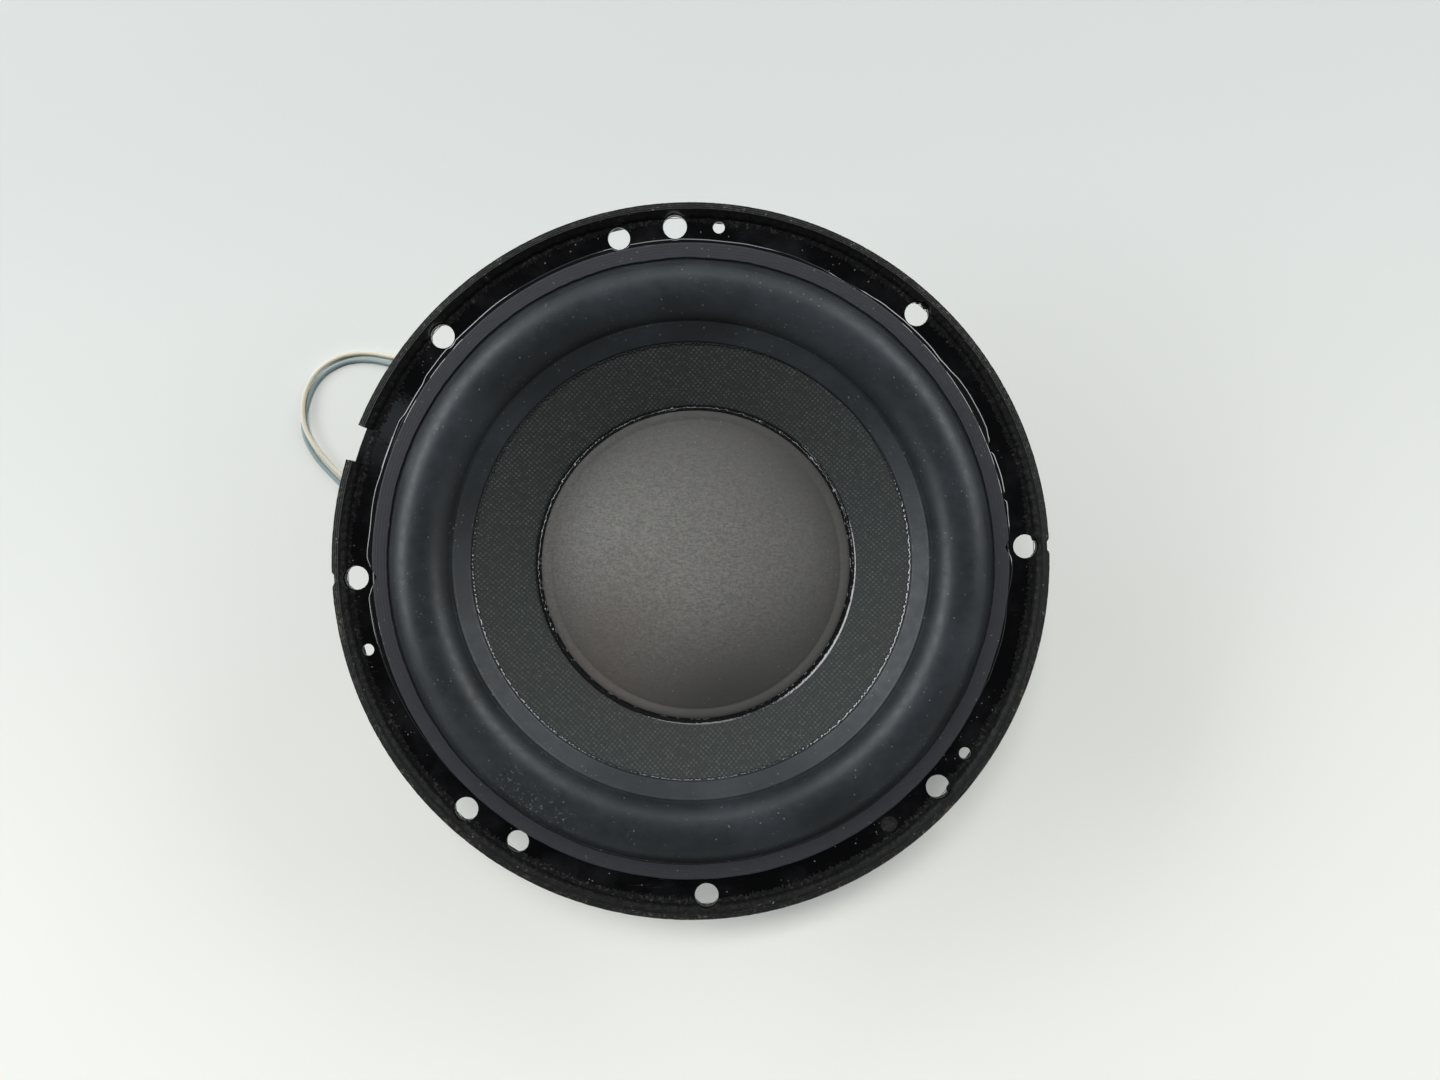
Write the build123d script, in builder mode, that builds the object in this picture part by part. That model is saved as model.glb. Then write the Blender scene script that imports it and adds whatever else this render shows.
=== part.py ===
from build123d import *
from math import cos, pi, radians, sin, tan
import os

os.makedirs("parts", exist_ok=True)

# Car subwoofer driver, 8 inch class, in millimetres.
# The driver stands on the back face of its yoke: z = 0 there, +Z runs along the axis towards the
# listener, and +X passes through one of the eight bolt holes of the flange.

# --- Driving dimensions ---------------------------------------------------------------------------
FLANGE_TOP = 80.0        # height of the flange's front face
FLANGE_R = 106.0         # outer radius of the steel flange
SHEET = 1.2              # basket steel
BEND = 2.0               # bend radius at the middle of the sheet

# Motor
YOKE_R, YOKE_T = 46.0, 6.0
POLE_R, POLE_TOP = 18.7, 29.0
VENT_R, VENT_FLARE = 6.0, 2.5
MAGNET_IN, MAGNET_R, MAGNET_T = 27.0, 50.0, 16.0
PLATE_IN, PLATE_R, PLATE_T = 20.8, 47.0, 6.0
PLATE_RIVET_RING, PLATE_RIVETS = 39.0, 4
RIVET_R, RIVET_HEAD_R, RIVET_HEAD_T = 2.2, 3.8, 1.3

# Basket
SEAT_IN, SEAT_OUT = 31.0, 49.5
SHELF_TOP, SHELF_IN, SHELF_OUT = 42.2, 56.5, 66.0
WALL_TOP_R = 89.5
WINDOWS, FIRST_WINDOW = 6, 30.0
WINDOW_WIDTH, WINDOW_LOW, WINDOW_HIGH, WINDOW_CORNER = 46.0, 47.0, 72.0, 6.0
VENT_HOLES, VENT_HOLE_R, VENT_HOLE_Z = 6, 3.5, 35.2

# Holes of the flange
BOLT_PCD, BOLTS, BOLT_HOLE_R = 202.7, 8, 3.6
SEALED_HOLE = (99.9, 304.4, 2.6)
OTHER_HOLES = [             # ring radius, angle, hole radius
    (100.05, 99.8, 3.35),
    (99.85, 235.5, 3.35),
    SEALED_HOLE,
    (101.4, 82.5, 1.8),
    (101.4, 192.5, 1.8),
    (101.4, 322.4, 1.8),
]

# Edge seal clipped round the flange
SEAL_R, SEAL_TOP = 107.5, 84.0
SEAL_FOOT_IN, SEAL_LIP_IN, SEAL_UNDER_IN = 103.8, 105.35, 103.3
SEAL_UNDER = 1.8            # thickness of the lip behind the flange
SEAL_GAP_FROM, SEAL_GAP_TO = 154.8, 160.6
SEAL_NOTCH_LONG, SEAL_NOTCH_DEEP = 4.2, 0.9
RESIDUE_IN, RESIDUE_OUT, RESIDUE_T = 101.5, 103.7, 0.35

# Surround
LAND_R, LAND_IN, LAND_T = 96.2, 91.6, 1.6
ROLL_OUT, ROLL_IN, ROLL_CREST = 91.1, 72.9, 88.0
RUBBER = 1.0
LAND_NOTCH_R = 1.2
INNER_LAND_IN = 67.1

# Cone, dust cap and coil
CONE_R, CONE_NECK_R, CONE_EDGE_Z = 72.6, 19.9, 80.0
CONE_SLOPE = tan(radians(31.0))
CONE_T = 1.1                # measured along Z
CAP_R, DOME_R, CAP_T = 48.6, 46.0, 0.8
DOME_RISE = 12.0
CAP_SHIFT = (1.1, -1.3)     # the cap is glued a little off the axis
CAP_SEAT_Z = 66.5
FORMER_IN, FORMER_R = 19.1, 19.4
FORMER_FROM, FORMER_TO = 17.0, 50.0
COLLAR_FROM, COLLAR_TO = 37.0, 48.2
COIL_R, COIL_LENGTH = 20.4, 18.0

# Spider
SPIDER_R, SPIDER_FLAT_IN, SPIDER_T = 64.5, 57.0, 0.6
SPIDER_WAVES, SPIDER_RISE = 5, 1.4
SPIDER_NECK_R, SPIDER_NECK_TOP = 20.6, 45.5

# Terminal board on the tab of one window, and the lead
TERMINAL_ANGLE = 150.0
TAB_WIDTH, TAB_END = 26.0, 84.3
BOARD_FROM, BOARD_TO, BOARD_WIDTH, BOARD_T = 67.3, 83.3, 24.0, 2.0
BLADE_FROM, BLADE_TO, BLADE_WIDTH, BLADE_T = 61.0, 92.0, 4.8, 0.8
BLADE_SIDE = 6.5            # half the distance between the two blades
EYELET_AT, EYELET_R, EYELET_HEAD_R, EYELET_HEAD_T = 75.0, 1.6, 2.6, 0.7
EYELET_CLEARANCE_R = 3.6
BOARD_RIVETS_AT, BOARD_RIVET_R = (71.0, 80.0), 1.5
LUG_FROM, LUG_BARREL_FROM, LUG_TO = 84.6, 93.0, 99.0
LUG_WIDTH, LUG_T, LUG_BARREL_R, LUG_FIT = 6.2, 2.4, 1.5, 0.06
SLEEVE_WALL = 0.4
TINSEL_D, LEADOUT_D = 1.2, 0.5
PAD_RING, PAD_SPREAD, PAD_R, PAD_LOW = 40.0, 11.0, 2.4, 57.0
WIRE_D = 1.7
PLUG_WIDTH, PLUG_HEIGHT, PLUG_LENGTH = 9.6, 6.8, 21.0
PLUG_PITCH, PLUG_WALL, PLUG_CAVITY = 3.0, 1.0, 12.0
PIN_R, PIN_LENGTH = 0.6, 9.0
LOCK_WIDTH, LOCK_DEPTH, LOCK_LENGTH = 6.0, 1.4, 3.0
HOLE_PAD_R, HOLE_PAD_T = 3.2, 2.0

# --- Heights that follow from them ----------------------------------------------------------------
PLATE_Z = YOKE_T + MAGNET_T
SEAT_Z = PLATE_Z + PLATE_T
GAP_MID_Z = PLATE_Z + PLATE_T / 2
FLANGE_BACK = FLANGE_TOP - SHEET
BOARD_TOP = SHELF_TOP + BOARD_T
BLADE_MID_Z = BOARD_TOP + BLADE_T / 2
BLADE_TOP = BOARD_TOP + BLADE_T


# --- Helpers --------------------------------------------------------------------------------------
def cone_top(radius):
    """Height of the cone's front face at a radius."""
    return CONE_EDGE_Z - CONE_SLOPE * (CONE_R - radius)


def outward_plane(angle, radius, height):
    """Plane that faces away from the axis; local x runs round it and local y is up."""
    outward = Vector(cos(radians(angle)), sin(radians(angle)), 0)
    around = Vector(-sin(radians(angle)), cos(radians(angle)), 0)
    return Plane(origin=outward * radius + Vector(0, 0, height), x_dir=around, z_dir=outward)


def terminal_plane(height):
    """Level plane whose local x runs outward over the terminal board."""
    outward = Vector(cos(radians(TERMINAL_ANGLE)), sin(radians(TERMINAL_ANGLE)), 0)
    return Plane(origin=(0, 0, height), x_dir=outward, z_dir=(0, 0, 1))


def at_terminal(out, along, up):
    """Point given outward from the axis, along the rim and up, at the terminal board's angle."""
    return terminal_plane(0).from_local_coords(Vector(out, along, up))


def outline(*points):
    """Closed straight-sided outline in the open sketch."""
    Polygon(*points, align=None)


def bolt_and_other_holes(margin=0.0):
    """Circles of every flange hole in the open sketch, each larger by the margin."""
    with PolarLocations(BOLT_PCD / 2, BOLTS):
        Circle(BOLT_HOLE_R + margin)
    for ring, angle, hole_r in OTHER_HOLES:
        with PolarLocations(ring, 1, start_angle=angle):
            Circle(hole_r + margin)


def gap_wedge(from_angle, to_angle, reach):
    """Triangle from the axis over a span of angles in the open sketch."""
    ends = [(reach * cos(radians(a)), reach * sin(radians(a))) for a in (from_angle, to_angle)]
    outline((0, 0), *ends)


def corner_radii(points):
    """Radius of each bend of a cord: 0.45 of the shorter run over the tangent of half the turn."""
    radii = []
    for before, corner, after in zip(points, points[1:], points[2:]):
        arriving = corner - before
        leaving = after - corner
        half_turn = radians(arriving.get_angle(leaving)) / 2
        radii.append(0.45 * min(arriving.length, leaving.length) / tan(half_turn))
    return radii


def report_cord(name, tube, path, diameter, radii):
    """Print a cord's length, bends and how its volume compares with section times length."""
    expected = pi * diameter**2 / 4 * path.length
    bends = ", ".join(f"{radius:.1f}" for radius in radii)
    print(f"{name}: length {path.length:.1f} mm, volume / expected {tube.part.volume / expected:.4f}")
    print(f"  bend radii {bends} mm")


# --- Motor ----------------------------------------------------------------------------------------
with BuildPart() as yoke:
    with BuildSketch(Plane.XZ):
        outline(
            (VENT_R, 0), (YOKE_R, 0), (YOKE_R, YOKE_T), (POLE_R, YOKE_T), (POLE_R, POLE_TOP),
            (VENT_R, POLE_TOP),
        )
    revolve(axis=Axis.Z)
    back_edges = yoke.faces().sort_by(Axis.Z)[0].edges()
    chamfer(back_edges.sort_by(SortBy.RADIUS)[0], VENT_FLARE)
    chamfer(back_edges.sort_by(SortBy.RADIUS)[-1], 1.0)
    pole_edge = yoke.faces().sort_by(Axis.Z)[-1].edges().sort_by(SortBy.RADIUS)[-1]
    chamfer(pole_edge, 0.8)
yoke.part.label = "yoke"
export_step(yoke.part, "parts/yoke.step")

with BuildPart() as magnet:
    with BuildSketch(Plane.XY.offset(YOKE_T)):
        Circle(MAGNET_R)
        Circle(MAGNET_IN, mode=Mode.SUBTRACT)
    extrude(amount=MAGNET_T)
    outer_edges = magnet.edges().filter_by(GeomType.CIRCLE).group_by(SortBy.RADIUS)[-1]
    chamfer(outer_edges, 1.0)
magnet.part.label = "magnet"
export_step(magnet.part, "parts/magnet.step")

with BuildPart() as top_plate:
    with BuildSketch(Plane.XY.offset(PLATE_Z)):
        Circle(PLATE_R)
        Circle(PLATE_IN, mode=Mode.SUBTRACT)
        with PolarLocations(PLATE_RIVET_RING, PLATE_RIVETS):
            Circle(RIVET_R, mode=Mode.SUBTRACT)
    extrude(amount=PLATE_T)
top_plate.part.label = "top_plate"
export_step(top_plate.part, "parts/top_plate.step")

with BuildPart() as plate_rivets:
    with BuildSketch(Plane.XY.offset(PLATE_Z)):
        with PolarLocations(PLATE_RIVET_RING, PLATE_RIVETS):
            Circle(RIVET_R)
    extrude(amount=PLATE_T + SHEET)
    with BuildSketch(Plane.XY.offset(SEAT_Z + SHEET)):
        with PolarLocations(PLATE_RIVET_RING, PLATE_RIVETS):
            Circle(RIVET_HEAD_R)
    extrude(amount=RIVET_HEAD_T, taper=30)
plate_rivets.part.label = "plate_rivets"
export_step(plate_rivets.part, "parts/plate_rivets.step")

# --- Basket: one pressing, from the motor seat up to the flange ------------------------------------
with BuildPart() as basket:
    with BuildSketch(Plane.XZ):
        with BuildLine():
            FilletPolyline(
                (SEAT_IN, SEAT_Z + SHEET / 2),
                (SEAT_OUT, SEAT_Z + SHEET / 2),
                (SHELF_IN, SHELF_TOP - SHEET / 2),
                (SHELF_OUT, SHELF_TOP - SHEET / 2),
                (WALL_TOP_R, FLANGE_TOP - SHEET / 2),
                (FLANGE_R, FLANGE_TOP - SHEET / 2),
                radius=BEND,
            )
        trace(line_width=SHEET)
    revolve(axis=Axis.Z)
    # Windows between the spokes; the one at the terminal board reaches down to the shelf.
    for index in range(WINDOWS):
        angle = FIRST_WINDOW + index * 360 / WINDOWS
        low = SHELF_TOP if angle == TERMINAL_ANGLE else WINDOW_LOW
        with BuildSketch(outward_plane(angle, SHELF_IN, (low + WINDOW_HIGH) / 2)):
            RectangleRounded(WINDOW_WIDTH, WINDOW_HIGH - low, WINDOW_CORNER)
        extrude(amount=FLANGE_R - SHELF_IN, mode=Mode.SUBTRACT)
    # Vent holes of the lower wall
    for index in range(VENT_HOLES):
        with BuildSketch(outward_plane(index * 360 / VENT_HOLES, SEAT_IN, VENT_HOLE_Z)):
            Circle(VENT_HOLE_R)
        extrude(amount=SHELF_OUT - SEAT_IN, mode=Mode.SUBTRACT)
    # Rivet holes of the seat and every hole of the flange
    with BuildSketch(Plane.XY.offset(SEAT_Z)):
        with PolarLocations(PLATE_RIVET_RING, PLATE_RIVETS):
            Circle(RIVET_R)
    extrude(amount=SHEET, mode=Mode.SUBTRACT)
    with BuildSketch(Plane.XY.offset(FLANGE_BACK)):
        bolt_and_other_holes()
    extrude(amount=SHEET, mode=Mode.SUBTRACT)
    # Tab folded out of the window for the terminal board
    with BuildSketch(terminal_plane(SHELF_TOP)):
        with Locations(((SHELF_OUT - BEND + TAB_END) / 2, 0)):
            Rectangle(TAB_END - SHELF_OUT + BEND, TAB_WIDTH)
        with Locations(*[(out, 0) for out in BOARD_RIVETS_AT]):
            Circle(BOARD_RIVET_R, mode=Mode.SUBTRACT)
        with Locations((EYELET_AT, BLADE_SIDE), (EYELET_AT, -BLADE_SIDE)):
            Circle(EYELET_CLEARANCE_R, mode=Mode.SUBTRACT)
    extrude(amount=-SHEET)
basket.part.label = "basket"
export_step(basket.part, "parts/basket.step")

with BuildPart() as hole_pad:
    ring, angle, hole_r = SEALED_HOLE
    with BuildSketch(Plane.XY.offset(FLANGE_BACK)):
        with PolarLocations(ring, 1, start_angle=angle):
            Circle(HOLE_PAD_R)
    extrude(amount=-HOLE_PAD_T)
hole_pad.part.label = "hole_pad"
export_step(hole_pad.part, "parts/hole_pad.step")

# --- Edge seal and what is left of the foam gasket -------------------------------------------------
with BuildPart() as edge_seal:
    with BuildSketch(Plane.XZ):
        outline(
            (SEAL_FOOT_IN, FLANGE_TOP), (SEAL_LIP_IN, SEAL_TOP - 0.4), (SEAL_LIP_IN + 0.5, SEAL_TOP),
            (SEAL_R - 0.6, SEAL_TOP), (SEAL_R, SEAL_TOP - 0.8), (SEAL_R, FLANGE_BACK - SEAL_UNDER + 0.6),
            (SEAL_R - 0.6, FLANGE_BACK - SEAL_UNDER), (SEAL_UNDER_IN, FLANGE_BACK - SEAL_UNDER),
            (SEAL_UNDER_IN, FLANGE_BACK), (FLANGE_R, FLANGE_BACK), (FLANGE_R, FLANGE_TOP),
        )
    revolve(axis=Axis.Z)
    seal_low = FLANGE_BACK - SEAL_UNDER
    with BuildSketch(Plane.XY.offset(seal_low)):
        gap_wedge(SEAL_GAP_FROM, SEAL_GAP_TO, 1.1 * SEAL_R)
    extrude(amount=SEAL_TOP - seal_low, mode=Mode.SUBTRACT)
    with BuildSketch(Plane.XY.offset(seal_low)):
        with PolarLocations(SEAL_R, 2):
            Rectangle(2 * SEAL_NOTCH_DEEP, SEAL_NOTCH_LONG)
    extrude(amount=SEAL_TOP - seal_low, mode=Mode.SUBTRACT)
    with BuildSketch(Plane.XY.offset(seal_low)):
        bolt_and_other_holes(margin=0.3)
    extrude(amount=SEAL_TOP - seal_low, mode=Mode.SUBTRACT)
edge_seal.part.label = "edge_seal"
export_step(edge_seal.part, "parts/edge_seal.step")

with BuildPart() as gasket_residue:
    with BuildSketch(Plane.XY.offset(FLANGE_TOP)) as residue_ring:
        Circle(RESIDUE_OUT)
        Circle(RESIDUE_IN, mode=Mode.SUBTRACT)
    extrude(amount=RESIDUE_T)
    with BuildSketch(Plane.XY.offset(FLANGE_TOP)):
        bolt_and_other_holes(margin=0.4)
    extrude(amount=RESIDUE_T, mode=Mode.SUBTRACT)
gasket_residue.part.label = "gasket_residue"
export_step(gasket_residue.part, "parts/gasket_residue.step")

# --- Surround: rubber half-roll between the flange and the cone ------------------------------------
ROLL_MID = (ROLL_OUT + ROLL_IN) / 2
with BuildPart() as surround:
    with BuildSketch(Plane.XZ):
        with BuildLine():
            Polyline(
                (LAND_R, FLANGE_TOP), (LAND_R, FLANGE_TOP + LAND_T), (LAND_IN, FLANGE_TOP + LAND_T),
                (ROLL_OUT, FLANGE_TOP + RUBBER),
            )
            ThreePointArc(
                (ROLL_OUT, FLANGE_TOP + RUBBER), (ROLL_MID, ROLL_CREST),
                (ROLL_IN, CONE_EDGE_Z + RUBBER + 0.2),
            )
            Polyline(
                (ROLL_IN, CONE_EDGE_Z + RUBBER + 0.2),
                (INNER_LAND_IN, cone_top(INNER_LAND_IN) + RUBBER),
                (INNER_LAND_IN, cone_top(INNER_LAND_IN)),
                (CONE_R, CONE_EDGE_Z),
                (ROLL_IN + RUBBER, CONE_EDGE_Z + 0.4),
            )
            ThreePointArc(
                (ROLL_IN + RUBBER, CONE_EDGE_Z + 0.4), (ROLL_MID, ROLL_CREST - RUBBER),
                (ROLL_OUT - RUBBER, FLANGE_TOP),
            )
            Line((ROLL_OUT - RUBBER, FLANGE_TOP), (LAND_R, FLANGE_TOP))
        make_face()
    revolve(axis=Axis.Z)
    with BuildSketch(Plane.XY.offset(FLANGE_TOP)):
        with PolarLocations(LAND_R + LAND_NOTCH_R / 3, 2):
            Circle(LAND_NOTCH_R)
    extrude(amount=LAND_T, mode=Mode.SUBTRACT)
surround.part.label = "surround"
export_step(surround.part, "parts/surround.step")

# Glue squeezed out beside the outer land, and the bead along the inner land
FLANGE_GLUE_R = 98.3
with BuildPart() as flange_adhesive:
    with BuildSketch(Plane.XZ):
        outline(
            (LAND_R + 0.02, FLANGE_TOP), (FLANGE_GLUE_R, FLANGE_TOP), (FLANGE_GLUE_R, FLANGE_TOP + 0.25),
            (LAND_R + 0.02, FLANGE_TOP + 0.9),
        )
    revolve(axis=Axis.Z)
    with BuildSketch(Plane.XY.offset(FLANGE_TOP)):
        bolt_and_other_holes(margin=0.1)
    extrude(amount=1.0, mode=Mode.SUBTRACT)
flange_adhesive.part.label = "flange_adhesive"
export_step(flange_adhesive.part, "parts/flange_adhesive.step")

CONE_GLUE_IN = 66.2
with BuildPart() as cone_adhesive:
    with BuildSketch(Plane.XZ):
        outline(
            (CONE_GLUE_IN, cone_top(CONE_GLUE_IN) + 0.02),
            (INNER_LAND_IN - 0.02, cone_top(INNER_LAND_IN) + 0.02),
            (INNER_LAND_IN - 0.02, cone_top(INNER_LAND_IN) + 0.75),
            (CONE_GLUE_IN, cone_top(CONE_GLUE_IN) + 0.35),
        )
    revolve(axis=Axis.Z)
cone_adhesive.part.label = "cone_adhesive"
export_step(cone_adhesive.part, "parts/cone_adhesive.step")

# --- Cone, dust cap, coil ---------------------------------------------------------------------------
with BuildPart() as cone:
    with BuildSketch(Plane.XZ):
        outline(
            (CONE_NECK_R, cone_top(CONE_NECK_R)), (CONE_R, CONE_EDGE_Z), (CONE_R, CONE_EDGE_Z - CONE_T),
            (CONE_NECK_R, cone_top(CONE_NECK_R) - CONE_T),
        )
    revolve(axis=Axis.Z)
cone.part.label = "cone"
export_step(cone.part, "parts/cone.step")

CAP_AXIS = Axis((*CAP_SHIFT, 0), (0, 0, 1))
CAP_PLANE = Plane(origin=(*CAP_SHIFT, 0), x_dir=(1, 0, 0), z_dir=(0, -1, 0))
DOME_SPHERE_R = (DOME_R**2 + DOME_RISE**2) / (2 * DOME_RISE)
CAP_TOP_Z = CAP_SEAT_Z + CAP_T


def dome_height(radius, sphere_r, crown_z):
    """Height of a spherical dome at a radius."""
    return crown_z - sphere_r + (sphere_r**2 - radius**2) ** 0.5


with BuildPart() as dust_cap:
    crown = CAP_TOP_Z + DOME_RISE
    inner_sphere = DOME_SPHERE_R - CAP_T
    inner_foot = (inner_sphere**2 - (CAP_SEAT_Z - crown + DOME_SPHERE_R) ** 2) ** 0.5
    with BuildSketch(CAP_PLANE):
        with BuildLine():
            ThreePointArc(
                (0, crown), (DOME_R / 2, dome_height(DOME_R / 2, DOME_SPHERE_R, crown)),
                (DOME_R, CAP_TOP_Z),
            )
            Polyline((DOME_R, CAP_TOP_Z), (CAP_R, CAP_TOP_Z), (CAP_R, CAP_SEAT_Z), (inner_foot, CAP_SEAT_Z))
            ThreePointArc(
                (inner_foot, CAP_SEAT_Z),
                (inner_foot / 2, dome_height(inner_foot / 2, inner_sphere, crown - CAP_T)),
                (0, crown - CAP_T),
            )
            Line((0, crown - CAP_T), (0, crown))
        make_face()
    revolve(axis=CAP_AXIS)
dust_cap.part.label = "dust_cap"
export_step(dust_cap.part, "parts/dust_cap.step")

# The bead fills the corner between the off-centre cap and the cone, so its width changes round it.
BEAD_R, BEAD_LOW = 50.4, 62.0
with BuildPart() as cap_adhesive:
    with BuildSketch(CAP_PLANE):
        outline(
            (CAP_R + 0.02, BEAD_LOW), (BEAD_R, BEAD_LOW), (BEAD_R, CAP_TOP_Z - 0.7),
            (CAP_R + 0.02, CAP_TOP_Z + 0.05),
        )
    revolve(axis=CAP_AXIS)
    with BuildSketch(Plane.XZ):
        outline(
            (0, BEAD_LOW), (0, FLANGE_TOP), (CONE_R, CONE_EDGE_Z + 0.02),
            (CONE_R - (CONE_EDGE_Z - BEAD_LOW) / CONE_SLOPE, BEAD_LOW + 0.02),
        )
    revolve(axis=Axis.Z, mode=Mode.INTERSECT)
cap_adhesive.part.label = "cap_adhesive"
export_step(cap_adhesive.part, "parts/cap_adhesive.step")

with BuildPart() as coil_former:
    with BuildSketch(Plane.XY.offset(FORMER_FROM)):
        Circle(FORMER_R)
        Circle(FORMER_IN, mode=Mode.SUBTRACT)
    extrude(amount=FORMER_TO - FORMER_FROM)
coil_former.part.label = "coil_former"
export_step(coil_former.part, "parts/coil_former.step")

with BuildPart() as former_collar:
    with BuildSketch(Plane.XY.offset(COLLAR_FROM)):
        Circle(CONE_NECK_R)
        Circle(FORMER_R, mode=Mode.SUBTRACT)
    extrude(amount=COLLAR_TO - COLLAR_FROM)
former_collar.part.label = "former_collar"
export_step(former_collar.part, "parts/former_collar.step")

with BuildPart() as voice_coil:
    with BuildSketch(Plane.XY.offset(GAP_MID_Z - COIL_LENGTH / 2)):
        Circle(COIL_R)
        Circle(FORMER_R, mode=Mode.SUBTRACT)
    extrude(amount=COIL_LENGTH)
voice_coil.part.label = "voice_coil"
export_step(voice_coil.part, "parts/voice_coil.step")

# --- Spider: corrugated cloth that centres the coil -------------------------------------------------
SPIDER_MID_Z = SHELF_TOP + SPIDER_T / 2
HALF_WAVE = (SPIDER_FLAT_IN - SPIDER_NECK_R) / (2 * SPIDER_WAVES)


def spider_waves(shift, outward):
    """Arcs of the corrugations in the open line, moved up or down by the shift."""
    order = range(2 * SPIDER_WAVES)
    for index in order if outward else reversed(order):
        inner = SPIDER_NECK_R + index * HALF_WAVE
        crest = SPIDER_MID_Z + shift + (SPIDER_RISE if index % 2 else 0)
        crest -= 0 if index % 2 else SPIDER_RISE
        ends = [(inner, SPIDER_MID_Z + shift), (inner + HALF_WAVE, SPIDER_MID_Z + shift)]
        ends = ends if outward else ends[::-1]
        ThreePointArc(ends[0], (inner + HALF_WAVE / 2, crest), ends[1])


with BuildPart() as spider:
    top, bottom = SPIDER_T / 2, -SPIDER_T / 2
    with BuildSketch(Plane.XZ):
        with BuildLine():
            Polyline(
                (CONE_NECK_R, SPIDER_MID_Z + bottom), (CONE_NECK_R, SPIDER_NECK_TOP),
                (SPIDER_NECK_R, SPIDER_NECK_TOP), (SPIDER_NECK_R, SPIDER_MID_Z + top),
            )
            spider_waves(top, outward=True)
            Polyline(
                (SPIDER_FLAT_IN, SPIDER_MID_Z + top), (SPIDER_R, SPIDER_MID_Z + top),
                (SPIDER_R, SPIDER_MID_Z + bottom), (SPIDER_FLAT_IN, SPIDER_MID_Z + bottom),
            )
            spider_waves(bottom, outward=False)
            Line((SPIDER_NECK_R, SPIDER_MID_Z + bottom), (CONE_NECK_R, SPIDER_MID_Z + bottom))
        make_face()
    revolve(axis=Axis.Z)
spider.part.label = "spider"
export_step(spider.part, "parts/spider.step")

# --- Terminal board ---------------------------------------------------------------------------------
BOARD_MID = (BOARD_FROM + BOARD_TO) / 2
EYELETS = [(EYELET_AT, BLADE_SIDE), (EYELET_AT, -BLADE_SIDE)]
BOARD_RIVETS = [(out, 0) for out in BOARD_RIVETS_AT]

with BuildPart() as terminal_board:
    with BuildSketch(terminal_plane(SHELF_TOP)):
        with Locations((BOARD_MID, 0)):
            RectangleRounded(BOARD_TO - BOARD_FROM, BOARD_WIDTH, 1.5)
        with Locations(*BOARD_RIVETS):
            Circle(BOARD_RIVET_R, mode=Mode.SUBTRACT)
        with Locations(*EYELETS):
            Circle(EYELET_R, mode=Mode.SUBTRACT)
    extrude(amount=BOARD_T)
terminal_board.part.label = "terminal_board"
export_step(terminal_board.part, "parts/terminal_board.step")

with BuildPart() as board_rivets:
    with BuildSketch(terminal_plane(SHELF_TOP - SHEET)):
        with Locations(*BOARD_RIVETS):
            Circle(BOARD_RIVET_R)
    extrude(amount=SHEET + BOARD_T)
    for height, thickness in ((BOARD_TOP, EYELET_HEAD_T), (SHELF_TOP - SHEET, -EYELET_HEAD_T)):
        with BuildSketch(terminal_plane(height)):
            with Locations(*BOARD_RIVETS):
                Circle(EYELET_HEAD_R)
        extrude(amount=thickness)
board_rivets.part.label = "board_rivets"
export_step(board_rivets.part, "parts/board_rivets.step")

with BuildPart() as terminal_rivets:
    with BuildSketch(terminal_plane(SHELF_TOP)):
        with Locations(*EYELETS):
            Circle(EYELET_R)
    extrude(amount=BOARD_T + BLADE_T)
    for height, thickness in ((BLADE_TOP, EYELET_HEAD_T), (SHELF_TOP, -EYELET_HEAD_T)):
        with BuildSketch(terminal_plane(height)):
            with Locations(*EYELETS):
                Circle(EYELET_HEAD_R)
        extrude(amount=thickness)
terminal_rivets.part.label = "terminal_rivets"
export_step(terminal_rivets.part, "parts/terminal_rivets.step")

# --- Free lead: hand-laid routes of the two wires, outward, along the rim and up --------------------
PLUG_Z = PLUG_HEIGHT / 2 + 0.1
CREAM_ROUTE = [
    (LUG_TO, -BLADE_SIDE, BLADE_MID_Z), (110.5, -BLADE_SIDE, BLADE_MID_Z), (118.5, -10.5, 35.0),
    (121.0, -15.5, 22.0), (121.5, -18.5, 7.5), (132.0, -15.2, 0.95), (149.9, -10.0, 0.95),
    (159.6, 1.6, 1.6), (159.6, 15.4, 2.85), (151.2, 28.6, 2.85), (126.2, 37.4, 0.95),
    (105.0, 40.4, 0.95), (84.54, 51.19, PLUG_Z), (74.2, 63.4, PLUG_Z),
]
BLUE_ROUTE = [
    (LUG_TO, BLADE_SIDE, BLADE_MID_Z), (109.5, BLADE_SIDE, BLADE_MID_Z), (117.5, 0.5, 36.0),
    (120.5, -8.0, 24.5), (122.0, -14.0, 10.0), (131.5, -12.6, 0.95), (148.7, -7.7, 0.95),
    (157.7, 2.9, 0.95), (158.4, 15.4, 0.95), (152.6, 30.8, 0.95), (127.2, 39.9, 0.95),
    (106.6, 42.9, 0.95), (86.83, 53.13, PLUG_Z), (76.49, 65.34, PLUG_Z),
]
WIRES = [("cream", -1, CREAM_ROUTE), ("blue", 1, BLUE_ROUTE)]

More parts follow.
